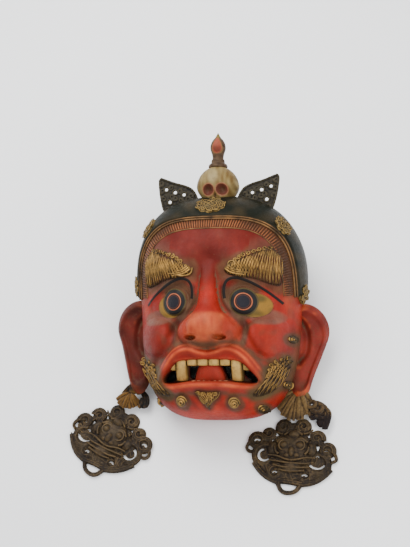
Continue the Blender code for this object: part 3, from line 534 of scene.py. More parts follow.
face_net = ((236, 292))
face = piece("face_skin", head_body(*face_net), lying)
cut_away(face, piece("tools", head_body(40, 50, side=11, front=25, below=0.4, carved=False), lying))
ring = np.linspace(0, 2 * math.pi, 20, endpoint=False)
for side in (1, -1):
    inner = [(15, 86), (33, 86), (33, 67), (29, 63), (25, 64)]
    outer = [(60 + 11 * math.cos(a) - 3 * math.sin(a), 67 + 9 * math.sin(a) - 4 * math.cos(a)) for a in ring]
    for gap in (inner, outer):
        cut_away(face, piece("tools", prism([(side * x, y) for x, y in gap], 20, 150), lying))
face.data.shade_smooth()

RED, DEEP_RED, ORANGE = colour(190, 58, 46), colour(134, 46, 40), colour(214, 122, 82)
MUD, OLIVE, PLUM = colour(116, 86, 66), colour(100, 88, 58), colour(106, 58, 50)
GREEN, LINE = colour(30, 38, 25), colour(44, 40, 38)
WOOD, EAR_RED = colour(120, 88, 60), colour(162, 66, 54)
TAN, EYE_WHITE = colour(142, 100, 84), colour(166, 132, 68)
IRIS = {1: (51.5, 176), -1: (-53.5, 177)}
# The dark line between the nose and the cheeks.
NOSE_SHADE = [(24, 196), (25, 176), (31, 164), (44, 152), (56, 138), (52, 118)]
# Rings painted round the pupil, from the outermost in: radius in millimetres and colour.
EYE_RINGS = [(20.5, (104, 90, 60)), (18.4, (48, 50, 50)), (12.8, (198, 134, 100)), (11.4, (56, 42, 42)),
             (9.9, (104, 66, 56)), (9.1, (48, 48, 56))]


def eye_paint(n, under):
    """The painted rings of the irises and the dark line along each lid, over the paint beneath."""
    for reach, tint in EYE_RINGS:
        under = n.blend(n.spread(n.field("eye_near"), reach + 0.35, reach - 0.35), under, colour(*tint))
    return n.blend(n.spread(n.field("lid_near"), 2.4, 1.7), under, LINE)


def paint_face(x, y, z, under, near):
    """The colours and the dirt of the face at points of its skin, with painted highlights and painted shade
    among them.
    """
    ax = np.abs(x)
    patchy = grain(x, y, 9, 0.7)
    tone = mix(RED, DEEP_RED, 0.3 + 0.4 * grain(x, y, 17))
    # The darker red over the upper forehead is painted shade.
    tone = mix(tone, (126, 42, 36), 0.85 * smooth(186, 222, y))
    tone = mix(tone, ORANGE, 0.35 * smooth(0.3, 1.4, -near) * smooth(175, 150, y))
    # nose and temples
    tip = smooth(106, 112, y) * smooth(162, 154, y)
    tone = mix(tone, (186, 84, 60), 0.8 * tip * smooth(50, 44, ax))
    # The pale orange band down the middle of the nose is a painted highlight.
    tone = mix(tone, (208, 124, 84), tip * smooth(30, 22, ax) * (0.7 + 0.3 * grain(x, y * 0.3, 2.2, 4)))
    tone = mix(tone, ORANGE, 0.45 * smooth(98, 110, ax) * smooth(150, 190, y) * smooth(-0.4, 0.6, patchy))
    tone = mix(tone, (138, 78, 56), 0.6 * smooth(96, 106, ax) * smooth(170, 196, y))
    dirt = 0.7 * smooth(0.25, 1.6, near) + 0.6 * smooth(0.5, 3.2, under) + 0.12 * patchy
    beside_nose, _ = along(ax, y, rounded(NOSE_SHADE, 2))
    tone = mix(tone, PLUM, 0.95 * smooth(8, 2.5, beside_nose + 1.5 * patchy))
    cheek = np.hypot((ax - np.where(x > 0, 85, 80)) / 30, (y - 121) / 27) + 0.08 * patchy
    tone = mix(tone, MUD, 0.75 * bell(cheek, 1.12, 0.16) * (ax < 96) * (y < 150))
    tone = mix(tone, (180, 62, 48), 0.85 * smooth(1.0, 0.7, cheek))
    tone = mix(tone, (112, 42, 38), 0.5 * smooth(-20, -70, x) * smooth(170, 130, y))
    tone = mix(tone, MUD, 0.35 * smooth(0.35, 1.0, grain(x, y, 8, 9.0)) * (y < 250))
    tone = mix(tone, (204, 78, 52), 0.75 * swell(x, y, 0, 16, 74, 24, 1) * smooth(-1.2, 0.4, patchy))
    # lips
    lip, _ = along(ax, y, LIP_LINE)
    within = depth_inside(ax, y, LIP_RING)
    tone = mix(tone, MUD, 0.85 * bell(lip, 11.5, 4.5) * (within < 0) * smooth(-1.2, 0.2, patchy))
    tone = mix(tone, (174, 62, 48), 0.85 * smooth(8, 6, lip))
    # Pale orange along the crest of both lips and along the upper lip's outer edge: painted highlights.
    tone = mix(tone, (214, 120, 80), 0.95 * bell(lip, 0.5, 2.0) * (0.75 + 0.5 * patchy))
    tone = mix(tone, (210, 116, 78), 0.9 * bell(lip, 6.4, 1.2) * (within < 0) * smooth(60, 80, y))
    tone = mix(tone, (208, 112, 76), 0.8 * bell(lip, 5.6, 1.1) * (within > 0) * smooth(64, 56, y))
    tone = mix(tone, MUD, 0.85 * swell(x, y, 0, 113, 34, 5, 1))
    # round the brows, the beard and the chin tuft
    brow = -depth_inside(ax, y, BROW_RING)
    tone = mix(tone, (122, 84, 60), 0.85 * smooth(15, 4, brow + 3 * patchy) * smooth(150, 180, y))
    tone = mix(tone, (70, 48, 34), smooth(1.0, -0.5, brow))
    tone = mix(tone, (124, 72, 60), 0.7 * smooth(30, 14, brow) * smooth(196, 214, y) * (ax > 60))
    beard = -depth_inside(beard_x(x), y, BEARD_RING)
    tone = mix(tone, OLIVE, 0.9 * smooth(13, 3, beard + 3 * patchy))
    tone = mix(tone, (64, 48, 34), smooth(1.0, -0.5, beard))
    tone = mix(tone, (104, 62, 46), 0.75 * swell(ax, y, 24, 224, 7, 22, 1) * smooth(-1, 0.4, patchy))
    tuft = -depth_inside(x, y, TUFT_RING)
    tone = mix(tone, (98, 62, 46), 0.9 * smooth(8, 1, tuft))
    for bx, by, radius in BOSSES:
        far = np.hypot(x - bx, y - by) + 1.5 * patchy
        tone = mix(tone, (108, 80, 58), 0.85 * smooth(radius + 7, radius + 2, far))
    # eyes: grey-brown sockets, yellow whites to the outer corner and tan bags below
    socket = np.hypot((ax - 54) / 1.15, y - 180)
    tone = mix(tone, (118, 90, 68), 0.9 * smooth(33, 25, socket + 3 * patchy) * smooth(84, 66, ax))
    bag = pillow(ax, y, 84, 154, 27, 13, 1, 0.5)
    tone = mix(tone, TAN, 0.85 * smooth(0.0, 0.75, bag + 0.15 * patchy))
    long = np.where(x > 0, 27, 22)
    white = pillow(ax, y, 38 + long, 171.5, long, 18.5, 1, 0.5)
    tone = mix(tone, mix(EYE_WHITE, (116, 98, 56), 0.5 - 0.9 * patchy), smooth(0.15, 0.4, white))
    tone = mix(tone, (86, 62, 46), 0.9 * bell(white, 0.16, 0.07))
    plain = smooth(0.1, 0.5, white)
    # mouth
    tone = mix(tone, (112, 44, 40), 0.9 * smooth(0, 4, depth_inside(ax, y, MOUTH_RING)))
    # cheeks and jaw towards the ears
    jaw = smooth(150, 120, y) * smooth(20, 50, y)
    tone = mix(tone, MUD, 0.75 * smooth(106, 122, ax + 5 * patchy) * jaw)
    # fringe, band, back and inside
    arch = arch_at(x, y)
    tone = mix(tone, (104, 70, 48), 0.85 * smooth(0.88, 0.91, arch) * smooth(182, 196, y))
    band = smooth(0.99, 1.0, arch) * (y > 188)
    tone = mix(tone, mix(GREEN, (62, 54, 36), 0.35 + 0.6 * patchy), band)
    tone = mix(tone, (112, 84, 54), band * smooth(1.03, 1.01, arch) * 0.7)
    plain = np.maximum(plain, 0.6 * band)
    dirt = dirt * (1 - 0.6 * band) * (1 - 0.7 * tip) * (1 - 0.85 * smooth(1.05, 0.8, cheek))
    tone = mix(tone, (70, 60, 46), band * smooth(-20, -45, z))
    return tone, np.clip(dirt, 0, 0.9), plain


def paint_skin(made):
    co = places(made, lying)
    under, near = hollows(made, 40), hollows(made, 6)
    tone, dirt, plain = paint_face(*co.T, under, near)
    toward = each_point(made, "normal") @ (np.array(lying.to_3x3()) @ np.array([0, 0, 1]))
    x, y, z = co.T
    within = reach_share(x, y, 9.5)[0] < 1
    inside = within & (z < skin_depth(x, y) - 8) & (toward < 0.2)
    tone = np.where(inside[:, None], WOOD, tone)
    set_field(made, "tone", tone)
    ball = np.min([np.hypot(x - cx, y - cy) for cx, cy in IRIS.values()], axis=0)
    set_field(made, "eye_near", np.where(inside, 40, np.clip(ball, 0, 40)))
    lid, where = along(np.abs(x), y, LID_LINE)
    drawn = (where > 0.2) & (where < 0.95) & ~inside
    set_field(made, "lid_near", np.where(drawn, np.clip(lid, 0, 8), 8))
    set_field(made, "dirt", np.where(inside, 0.2, dirt))
    set_field(made, "plain", np.where(inside, 1.0, plain))


paint_skin(face)
face.data.materials.append(worn_paint("face_paint", eye_paint))
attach(face, "root")
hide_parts("mask_shell")


# The ears: long lobed ears with a rolled rim, carved with the head and painted like it.
# The left one is wider, sits higher and is darker.
EAR = [(157, 114), (163, 132), (163, 146), (159, 160), (151, 172), (140, 180), (128, 183), (114, 176),
       (104, 150), (100, 112), (103, 70), (110, 44), (120, 32), (129, 35), (135, 46), (139, 62), (145, 80),
       (151, 96)]
EAR_CENTRE = (125, 112)
EAR_GROOVE = [(112, 158), (124, 154), (131, 140), (133, 122), (130, 104), (120, 92)]


def globe(columns, rows):
    bm = bmesh.new()
    bmesh.ops.create_uvsphere(bm, u_segments=columns, v_segments=rows, radius=1)
    return bm


def ear_surface(gx, gy, gz, side, widen, lift, splay):
    """A closed ear on either side of the face, from the points of a globe."""
    lon, lat = np.arctan2(gy, gx), np.arcsin(np.clip(gz, -1, 1))
    line = rounded(EAR, 2, closed=True) - EAR_CENTRE
    angle = np.mod(np.arctan2(line[:, 1], line[:, 0]), 2 * np.pi)
    order = np.argsort(angle)
    angle, far = angle[order], np.hypot(line[:, 0], line[:, 1])[order]
    angle = np.concatenate([angle - 2 * np.pi, angle, angle + 2 * np.pi])
    radius = np.interp(np.mod(lon, 2 * np.pi), angle, np.tile(far, 3))
    share = np.cos(lat) ** 0.8
    x = EAR_CENTRE[0] + radius * share * np.cos(lon)
    y = EAR_CENTRE[1] + radius * share * np.sin(lon)
    z = -14 - 0.010 * (x - 118) ** 2 - 0.05 * np.clip(x - 118, 0, None)
    relief = 6.0 * bell(share, 0.86, 0.10) * smooth(108, 128, x)
    groove, _ = along(x, y, rounded(EAR_GROOVE))
    relief -= 8 * bell(groove, 0, 5.5) + swell(x, y, 119, 122, 9, 26, 3)
    relief += swell(x, y, 113, 104, 7, 12, 5) + 0.4 * grain(x, y, 6, 2.0)
    z = z + 5.5 * np.sin(lat) + np.where(lat > 0, relief * smooth(0, 0.35, np.sin(lat)), 0)
    x = x + widen * np.clip((x - 118) / 45, 0, None) + splay * smooth(120, 50, y)
    return np.stack([side * x, y + lift, z], axis=-1)


def painted(made, tone, dirt, plain=1.0):
    """Store the colours of a painted piece and give it the worn paint."""
    count = len(made.data.vertices)
    set_field(made, "tone", np.broadcast_to(tone, (count, 3)))
    set_field(made, "dirt", np.broadcast_to(dirt, count))
    set_field(made, "plain", np.broadcast_to(plain, count))
    made.data.materials.append(paint)


for name, side, widen, lift, splay in (("ear_right", 1, 4, -2, 0), ("ear_left", -1, 12, 7, 9)):
    bm = globe(144, 110)
    shaped(bm, lambda gx, gy, gz: ear_surface(gx, gy, gz, side, widen, lift, splay))
    ear = piece(name, bm, lying)
    x, y, z = places(ear, lying).T
    near = hollows(ear, 8)
    tone = mix(EAR_RED, DEEP_RED, 0.5 + 0.5 * grain(x, y, 14, 1.0))
    tone = mix(tone, ORANGE, 0.8 * smooth(0.25, 1.0, -near))
    tone = mix(tone, MUD, 0.65 * smooth(70, 48, y - lift) * smooth(-0.3, 0.5, grain(x, y, 9)))
    patch = smooth(-0.2, 0.6, grain(x, y, 11, 3.0))
    tone = mix(tone, (112, 84, 66), 0.7 * smooth(126, 108, np.abs(x)) * patch)
    if side < 0:
        tone = mix(tone, (88, 44, 38), 0.6 + 0.3 * grain(x, y, 16, 1.0))
    painted(ear, tone, np.clip(0.15 + 0.7 * smooth(0.2, 1.5, near), 0, 1), 0.35)
    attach(ear, "root")
    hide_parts("mask_shell")


# Tubes for hair, beads and wires: one curve with many splines, so that a whole lock is one mesh.
def add_tubes(bm, paths, resolution=2):
    """Round bars; a path is a list of (x, y, z, radius) in millimetres."""
    curve = bpy.data.curves.new("tubes", "CURVE")
    curve.dimensions = "3D"
    curve.bevel_depth = 1.0
    curve.bevel_resolution = resolution
    curve.use_fill_caps = True
    for path in paths:
        line = curve.splines.new("POLY")
        line.points.add(len(path) - 1)
        for point, (x, y, z, radius) in zip(line.points, path):
            point.co = (x, y, z, 1)
            point.radius = radius
    holder = bpy.data.objects.new("tubes", curve)
    mesh = bpy.data.meshes.new_from_object(holder)
    bm.from_mesh(mesh)
    bpy.data.objects.remove(holder)
    bpy.data.meshes.remove(mesh)
    bpy.data.curves.remove(curve)
    bmesh.ops.remove_doubles(bm, verts=bm.verts, dist=0.0005)


def on_skin(x, y, rise, radius, side=1):
    """A tube's path over the carved face, from flat arrays drawn on its right half."""
    x = np.asarray(x, float)
    if side < 0:
        jaw = (np.asarray(y) < 100) & (x > BEARD_START)
        x = np.where(jaw, BEARD_START + (x - BEARD_START) * BEARD_SPREAD, x)
    spots = skin_point(side * x, np.asarray(y, float), rise)
    return [(*spot, size) for spot, size in zip(spots, np.broadcast_to(radius, len(spots)))]


def taper(count, thick, ends=0.35):
    """Radii that narrow towards both ends."""
    t = np.linspace(0, 1, count)
    return thick * (ends + (1 - ends) * np.sin(np.pi * np.clip(t * 0.9 + 0.05, 0, 1)) ** 0.6)


def spiral(centre, outer, inner, start, turns, count=22):
    t = np.linspace(0, 1, count)
    angle = math.radians(start) + t * turns * 2 * math.pi
    radius = outer + (inner - outer) * t
    return centre[0] + radius * np.cos(angle), centre[1] + radius * np.sin(angle)


def combed(source, outline, spacing, thick, rise, side, wave=0.6):
    """Strands that fan out from a far point, kept where they cross an outline."""
    hull = np.asarray(outline)
    far = np.hypot(*(hull - source).T)
    angle = np.arctan2(*(hull - source).T[::-1])
    paths = []
    for index, turn in enumerate(np.arange(angle.min(), angle.max(), spacing / far.mean())):
        reach = np.linspace(far.min(), far.max(), 70)
        x = source[0] + reach * math.cos(turn)
        y = source[1] + reach * math.sin(turn)
        sway = wave * np.sin(reach / 7 + 2.1 * index)
        x, y = x - sway * math.sin(turn), y + sway * math.cos(turn)
        kept = np.where(depth_inside(x, y, hull) > 0.2)[0]
        if len(kept) < 8:
            continue
        kept = kept[np.linspace(0, len(kept) - 1, 14).astype(int)]
        paths.append(on_skin(x[kept], y[kept], rise + 0.5 * (index % 3 - 1), taper(14, thick), side))
    return paths


def strands(name, paths, resolution=1):
    """A piece made of tubes over the carved face."""
    bm = bmesh.new()
    add_tubes(bm, paths, resolution)
    return piece(name, bm, lying)


def small_curls(spots, outer, step, rise, thick, side=1):
    """Small curls over the carved face, each turned further by a step in degrees."""
    return [on_skin(*spiral(spot, outer, 0.8, step * index, 1.4, 14), rise, np.linspace(thick, 0.7, 14), side)
            for index, spot in enumerate(spots)]


# Used on the gilt hair, this sets a painted highlight where the hair faces out of the mask.
def facing_share(made, axis=lying.to_3x3() @ Vector((0, 0, 1))):
    """1 where a piece faces along the axis, else out of the mask, and 0 where it faces sideways or back."""
    return np.clip(each_point(made, "normal") @ np.array(axis), 0, 1)


# The field stored here is wear on the bronze and a painted highlight on the gilt hair.
def gilded(made, wear_and_painted_light, material):
    set_field(made, "wear_and_painted_light", np.clip(wear_and_painted_light, 0, 1))
    made.data.materials.append(material)
    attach(made, "root")


# The brows: combed locks of carved hair, gilt over brown, with small curls along the top.
# At the nose the right brow rolls up in a spiral, and the left one hooks round its end.
BROW_FAN = (97, 319)
BROW_TOP = [(41, 236), (47, 240), (53, 244), (60, 247), (67, 250), (74, 253), (81, 255), (88, 256)]
BROW_LOCKS = [(1.5, [(27, 224), (33, 219), (42, 216), (54, 215)]), (1.2, [(30, 229), (38, 223), (50, 221)]),
              (1.2, [(28, 227), (36, 221), (46, 218.5), (60, 219)])]
for name, side in (("brow_right", 1), ("brow_left", -1)):
    paths = combed(BROW_FAN, BROW_RING, 1.25, 0.85, 0.5, side, 0.7)
    for thick, run in BROW_LOCKS:
        line = rounded(run, 2)
        paths.append(on_skin(*line.T, 0.9, taper(len(line), thick, 0.5), side))
    if side > 0:
        paths.append(on_skin(*spiral((35, 230), 7.5, 1.2, 250, 1.7), 1.2, np.linspace(1.3, 0.8, 22), side))
    else:
        line = rounded([(50, 216), (36, 215), (25, 219), (23, 227)], 2)
        paths.append(on_skin(*line.T, 1.4, taper(len(line), 1.6, 0.5), side))
    paths += small_curls(BROW_TOP, 3.6, 40, 0.8, 1.1, side)
    brow = strands(name, paths)
    x, y, _ = places(brow, lying).T
    # The gilt is brightest where the strands face out of the mask, a painted highlight, with painted shade on
    # their sides.
    gilded(brow, 1.3 * facing_share(brow) - 0.5 + 0.26 * grain(x, y * 0.2, 1.6, 1.0), gilt)

# The beards on the jaw: short combed strands under a row of curls, gilt above and dark below.
# The left one is stretched back along the jaw.
BEARD_FAN = (175, 190)
BEARD_CURLS = [(88, 83), (95, 88), (103, 92), (110, 95), (86, 76), (92, 79), (99, 83), (106, 86),
               (84, 68), (89, 71), (112, 88), (96, 74)]
for name, side in (("beard_right", 1), ("beard_left", -1)):
    paths = combed(BEARD_FAN, BEARD_RING, 1.35, 0.8, 0.4, side, 1.2)
    paths += small_curls(BEARD_CURLS, 3.2, 75, 0.8, 1.1, side)
    beard = strands(name, paths)
    low = places(beard, lying)[:, 1]
    # Brightest where the strands face out of the mask, a painted highlight, with painted shade on their
    # sides.
    gilded(beard, (1.25 * facing_share(beard) - 0.35) * (0.55 + 0.45 * smooth(42, 70, low)), gilt)

# The tuft under the lip: thirteen strands that run together at its tip.
# Six small curls lie over them.
paths = []
for index, start in enumerate(np.linspace(-21, 16, 13)):
    y = np.linspace(44, 18 + abs(index - 6) * 1.3, 14)
    share = (44 - y) / 25
    x = start + (-4 - start) * share + 1.5 * np.sin(share * 9 + index)
    paths.append(on_skin(x, y, 0.4, taper(14, 0.95)))
paths += small_curls([(-17, 43), (-9, 41), (0, 41), (9, 42), (-5, 31), (2, 35)], 3.0, 70, 1.0, 1.0)
tuft = strands("chin_tuft", paths)
# Brightest where the strands face out of the mask, a painted highlight, with painted shade on their sides.
gilded(tuft, 1.25 * facing_share(tuft) - 0.45, gilt)

# The gilt bosses along the jaw: each one a coiled dome.
# The one at the far left sits a little further in, where the jaw ends.
paths = []
for x, y, radius in BOSSES:
    x, y = (x + 6, y + 2) if x < -90 else (x, y)
    coil_x, coil_y = spiral((x, y), radius * 0.88, 0.8, 30 + 9 * x, 2.6, 60)
    rise = 2.6 * (1 - (np.linspace(1, 0.05, 60)) ** 2)
    spots = skin_point(coil_x, coil_y, rise)
    paths.append([(*spot, size) for spot, size in zip(spots, np.linspace(1.5, 1.9, 60))])
bosses = strands("spiral_bosses", paths, 2)
# Each coil is brightest where it faces out of the mask, most of all on the dome's top: a painted highlight.
gilded(bosses, 1.6 * facing_share(bosses) - 0.6, gilt)


# The fringe of hair under the headband: a strip of short ribs, light brown where they face out, a painted
# highlight.
# They stand side by side from one temple to the other.
def arch_path(size, count):
    """A run along the headband's front edge; size 1 is the edge itself."""
    angle = np.radians(np.linspace(-7, 187, count))
    cos, sin = np.cos(angle), np.sin(angle)
    reach = np.abs(cos / ARCH_W) ** ARCH_POWER + np.abs(sin / ARCH_H) ** ARCH_POWER
    reach = size * reach ** (-1 / ARCH_POWER)
    return reach * cos, HALF_H + reach * sin


RIBS = 118
paths = []
inner_x, inner_y = arch_path(0.885, RIBS)
outer_x, outer_y = arch_path(0.985, RIBS)
for index in range(RIBS):
    if outer_y[index] < 190:
        continue
    t = np.linspace(0, 1, 7)
    lean = 0.012 * (index - RIBS / 2)
    x = inner_x[index] + (outer_x[index] - inner_x[index]) * t + lean * t * 2
    y = inner_y[index] + (outer_y[index] - inner_y[index]) * t
    paths.append(on_skin(x, y, 0.1, taper(7, 1.55)))
fringe = strands("fringe", paths)
gilded(fringe, 1.1 * facing_share(fringe) - 0.35 + 0.25 * grain(*places(fringe, lying)[:, :2].T, 21),
       worn_gilt("fringe_paint", (168, 108, 68), (84, 56, 42)))

# The gilt beads that edge the headband and the fringe: two rods along the band's front edge.
# A thinner one runs below the fringe.
paths = []
for size, thick, rise in ((0.990, 1.7, 1.2), (1.003, 1.3, 3.6), (0.878, 1.0, 0.2)):
    x, y = arch_path(size, 200)
    kept = y > 186
    paths.append(on_skin(x[kept], y[kept], rise, thick))
bead = strands("band_bead", paths, 2)
# The beads are brightest where they face out of the mask: a painted highlight.
gilded(bead, 0.9 * facing_share(bead) - 0.2 + 0.35 * grain(*places(bead, lying)[:, :2].T, 9),
       worn_gilt("bead_gilt", (152, 116, 76), (70, 52, 38)))


# The upper teeth: four short ones, two long fangs beside them and two tapered ones outside those.
# They hang from the upper lip, cream with brown seams, and stand for teeth of the shell.
def block(bm, corners, back, front, bevel, swollen=1.5):
    """A rounded block in the mouth: four corners on the face, and its depths from the plain dome."""
    made = bmesh.ops.create_cube(bm, size=2)["verts"]
    edges = list({edge for vert in made for edge in vert.link_edges})
    bmesh.ops.subdivide_edges(bm, edges=edges, cuts=5, use_grid_fill=True)
    fresh = [vert for vert in bm.verts if vert.tag is False]
    low0, low1, high1, high0 = (np.array(corner, float) for corner in corners)
    for vert in fresh:
        vert.tag = True
        cube = np.array(vert.co[:])
        soft = cube * np.sqrt(1 - np.roll(cube, 1) ** 2 / 2 - np.roll(cube, 2) ** 2 / 2
                              + np.roll(cube, 1) ** 2 * np.roll(cube, 2) ** 2 / 3)
        cube = cube + (soft - cube) * bevel
        a, b = (cube[0] + 1) / 2, (cube[1] + 1) / 2
        low, high = low0 + (low1 - low0) * a, high0 + (high1 - high0) * a
        x, y = low + (high - low) * b
        dome = float(plain_depth(np.array([x]), np.array([y]))[0])
        z = dome + (front + swollen * (1 - cube[0] ** 2) if vert.co.z > 0 else back)
        vert.co = (x, y, dome + back + (z - dome - back) * (cube[2] + 1) / 2)


# Each tooth: its sides at the gum and at the tip, how far down it reaches and how far it stands out.
TEETH = [((-33, -16.7), (-32, -16.7), 82, 6), ((-16.5, -0.2), (-16.5, -0.2), 82, 7),
         ((0.1, 16.5), (0.1, 16.5), 82, 7), ((16.7, 33), (16.7, 32), 82, 6),
         ((33.2, 49), (34, 50), 59, 8), ((-49, -33.2), (-50, -34), 59, 8),
         ((49.2, 64), (50, 60), 75, 5), ((-64, -49.2), (-60, -50), 75, 5)]
bm = bmesh.new()
for (x0, x1), (tip0, tip1), low, front in TEETH:
    block(bm, [(tip0, low), (tip1, low), (x1, 95), (x0, 95)], -30, front, 0.3, 0.9)
teeth = piece("upper_teeth", bm, lying)
x, y, _ = places(teeth, lying).T
seam = np.min([np.abs(np.abs(x) - edge) for edge in (0, 16.6, 33.1, 49.1)], axis=0)
tone = mix(colour(232, 208, 150), (176, 146, 90), smooth(88, 74, y) * 0.6 + 0.3 * grain(x, y, 4))
tone = mix(tone, (88, 60, 36), 0.8 * smooth(1.3, 0.3, seam))
tone = mix(tone, (110, 60, 44), 0.8 * smooth(90, 93, y))
painted(teeth, tone, np.clip(0.2 + 0.2 * grain(x, y, 3), 0, 1))
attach(teeth, "root")
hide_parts("mask_shell")

# The lower teeth: a low row of seven along the lower lip.
# They are half hidden behind it and stained red at the gum.
bm = bmesh.new()
for x0 in np.linspace(-28, 20, 7):
    block(bm, [(x0 + 0.2, 55), (x0 + 7.8, 55), (x0 + 7.6, 61.5), (x0 + 0.4, 61.5)], -30, 4, 0.5, 0.6)
low_teeth = piece("lower_teeth", bm, lying)
low = places(low_teeth, lying)[:, 1]
painted(low_teeth, mix(colour(196, 150, 122), (150, 70, 56), smooth(60.5, 58.5, low)), 0.2)
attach(low_teeth, "root")
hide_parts("mask_shell")

# The tongue, a rounded red block that narrows upwards.
# It fills the mouth between its two middle gaps.
bm = bmesh.new()
block(bm, [(-27, 54), (27, 54), (17, 86), (-17, 86)], -34, 0, 0.45, 4)
tongue = piece("tongue", bm, lying)
x, y, _ = places(tongue, lying).T
painted(tongue, mix(colour(186, 72, 56), DEEP_RED, 0.4 + 0.4 * grain(x, y, 8)), 0.15, 0.6)
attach(tongue, "root")
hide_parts("mask_shell")


# The skull on the crown: a cream painted cranium with red sockets and a dented nose.
# Its teeth are only painted, low down and mostly behind the band's ornament.
def skull_surface(gx, gy, gz):
    """The skull's skin, from the points of a globe whose pole is at the crown."""
    lon, lat = np.arctan2(gx, -gy), np.arcsin(np.clip(gz, -1, 1))
    x, y, z = np.cos(lat) * np.sin(lon), np.sin(lat), np.cos(lat) * np.cos(lon)
    jaw = smooth(0.1, -0.8, y)
    x, z = x * (1 - 0.25 * jaw), z * (1 - 0.1 * jaw)
    dent = 0.24 * np.exp(-(((np.abs(x) - 0.31) / 0.2) ** 2) - ((y + 0.16) / 0.2) ** 2)
    dent += 0.12 * np.exp(-((x / 0.1) ** 2) - ((y + 0.42) / 0.14) ** 2)
    z = z - smooth(0.1, 0.5, z) * dent
    return np.stack([x * 33.5, y * 35 + 360, z * 33.5 + 18], axis=-1)


bm = globe(160, 110)
shaped(bm, skull_surface)
skull = piece("skull_skin", bm, lying)
x, y, z = places(skull, lying).T
hole = np.hypot(np.abs(x) - 10.5, y - 354)
tone = mix(colour(172, 156, 114), (128, 102, 60), 0.5 + 0.6 * grain(x * 1.4, y * 0.5, 4))
tone = mix(tone, (196, 184, 150), 0.7 * swell(x, y, -4, 374, 9, 12, 1))
tone = mix(tone, (112, 88, 52), 0.6 * smooth(20, 30, np.abs(x)) * smooth(-0.4, 0.5, grain(x * 2, y, 5, 1)))
front = z > 24
tone = mix(tone, (196, 142, 118), 0.6 * smooth(11.0, 9.2, hole) * front)
tone = mix(tone, (112, 58, 46), smooth(9.2, 8.2, hole) * front)
tone = mix(tone, (92, 62, 44), 0.8 * smooth(7.4, 3.5, hole) * front * smooth(-0.5, 0.6, grain(x, y, 4)))
tone = mix(tone, (80, 56, 38), 0.85 * smooth(2.4, 1.2, np.hypot(np.abs(x), (y - 345) * 0.6)) * front)
gaps = smooth(0.6, 0.9, np.abs(np.sin(x * 0.62)))
tone = mix(tone, (86, 62, 40), 0.8 * front * smooth(337, 334, y) * gaps)
painted(skull, tone, np.clip(0.12 + 0.5 * smooth(0.2, 0.9, hollows(skull, 8)), 0, 1))
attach(skull, "root")
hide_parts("skull")

# The finial: a turned collar and a flame-shaped bead, brown with a red flame painted on its front.
# Its profile is drawn 27 wide and 55 high, and turned at its true size about its own axis.
FINIAL = [(0, 0), (13.5, 0), (13.5, 6), (9.5, 8), (9.5, 13), (7.5, 15), (8.5, 22), (11, 29), (11, 35),
          (8.5, 42), (4, 47), (1.4, 52), (0, 55)]
FINIAL_FOOT, FINIAL_WIDE, FINIAL_HIGH, FINIAL_LEVEL = 391, 30, 58.5, 18
bm = bmesh.new()
profile = [bm.verts.new((r / 27 * FINIAL_WIDE, y / 55 * FINIAL_HIGH + FINIAL_FOOT, FINIAL_LEVEL))
           for r, y in rounded(FINIAL, 3)]
edges = [bm.edges.new(pair) for pair in zip(profile[:-1], profile[1:])]
bmesh.ops.spin(bm, geom=profile + edges, cent=(0, 0, FINIAL_LEVEL), axis=(0, 1, 0), angle=2 * math.pi,
               steps=72, use_merge=True)
bmesh.ops.remove_doubles(bm, verts=bm.verts, dist=0.002)
finial = piece("finial_skin", bm, lying)
x, y, z = places(finial, lying).T
up = (y - FINIAL_FOOT) / FINIAL_HIGH * 55
tone = mix(colour(112, 90, 68), (74, 56, 44), 0.5 + 0.5 * grain(x, y * 2, 4))
flame = 1 - (x / (3.4 + 5.6 * np.clip((44 - up) / 18, 0.02, 1) ** 0.8)) ** 2 - ((up - 34.5) / 12.5) ** 2
flame = np.where(z > FINIAL_LEVEL, flame, -1)
tone = mix(tone, (142, 112, 76), smooth(-0.5, -0.3, flame) * smooth(20, 24, up))
tone = mix(tone, (170, 98, 76), smooth(-0.02, 0.1, flame))
tone = mix(tone, (128, 62, 50), 0.8 * smooth(0.1, 0.4, flame) * smooth(37, 29, up))
tone = mix(tone, (142, 130, 76), 0.7 * smooth(44, 48, up) * (z > FINIAL_LEVEL))
painted(finial, tone, np.clip(0.15 + 0.3 * grain(x, y, 5), 0, 1))
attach(finial, "root")
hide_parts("finial")


# The two crown leaves: a pierced plate, a roped edge and wire scrolls, dark bronze all over.
# Like all the cast metal here, they are lumps and wires melted into one skin.
def add_ball(bm, centre, radii):
    bmesh.ops.create_icosphere(bm, subdivisions=4, radius=1,
                               matrix=Matrix.Translation(centre) @ Matrix.Diagonal((*radii, 1)))


def melted(name, bm, place, voxel, floor=None, rounds=2):
    """Join overlapping lumps, given in millimetres, into one skin and place it."""
    made = piece(name, bm)
    step = made.modifiers.new("melt", "REMESH")
    step.mode = "VOXEL"
    step.voxel_size = voxel * UNIT * 1
    mesh = bpy.data.meshes.new_from_object(made.evaluated_get(bpy.context.evaluated_depsgraph_get()))
    bpy.data.objects.remove(made)
    bm = bmesh.new()
    bm.from_mesh(mesh)
    bpy.data.meshes.remove(mesh)
    for _ in range(rounds):
        bmesh.ops.smooth_vert(bm, verts=bm.verts, factor=0.5,
                              use_axis_x=True, use_axis_y=True, use_axis_z=True)
    if floor is not None:
        cut = list(bm.verts) + list(bm.edges) + list(bm.faces)
        bmesh.ops.bisect_plane(bm, geom=cut, dist=1e-7, plane_co=(0, 0, floor * UNIT), plane_no=(0, 0, -1),
                               clear_outer=True)
        bmesh.ops.triangle_fill(bm, use_beauty=True, edges=[edge for edge in bm.edges if edge.is_boundary],
                                normal=(0, 0, -1))
        bmesh.ops.translate(bm, verts=bm.verts, vec=(0, 0, -floor * UNIT))
    bmesh.ops.scale(bm, vec=(1 / UNIT, 1 / UNIT, 1 / UNIT), verts=bm.verts)
    return piece(name, bm, place)


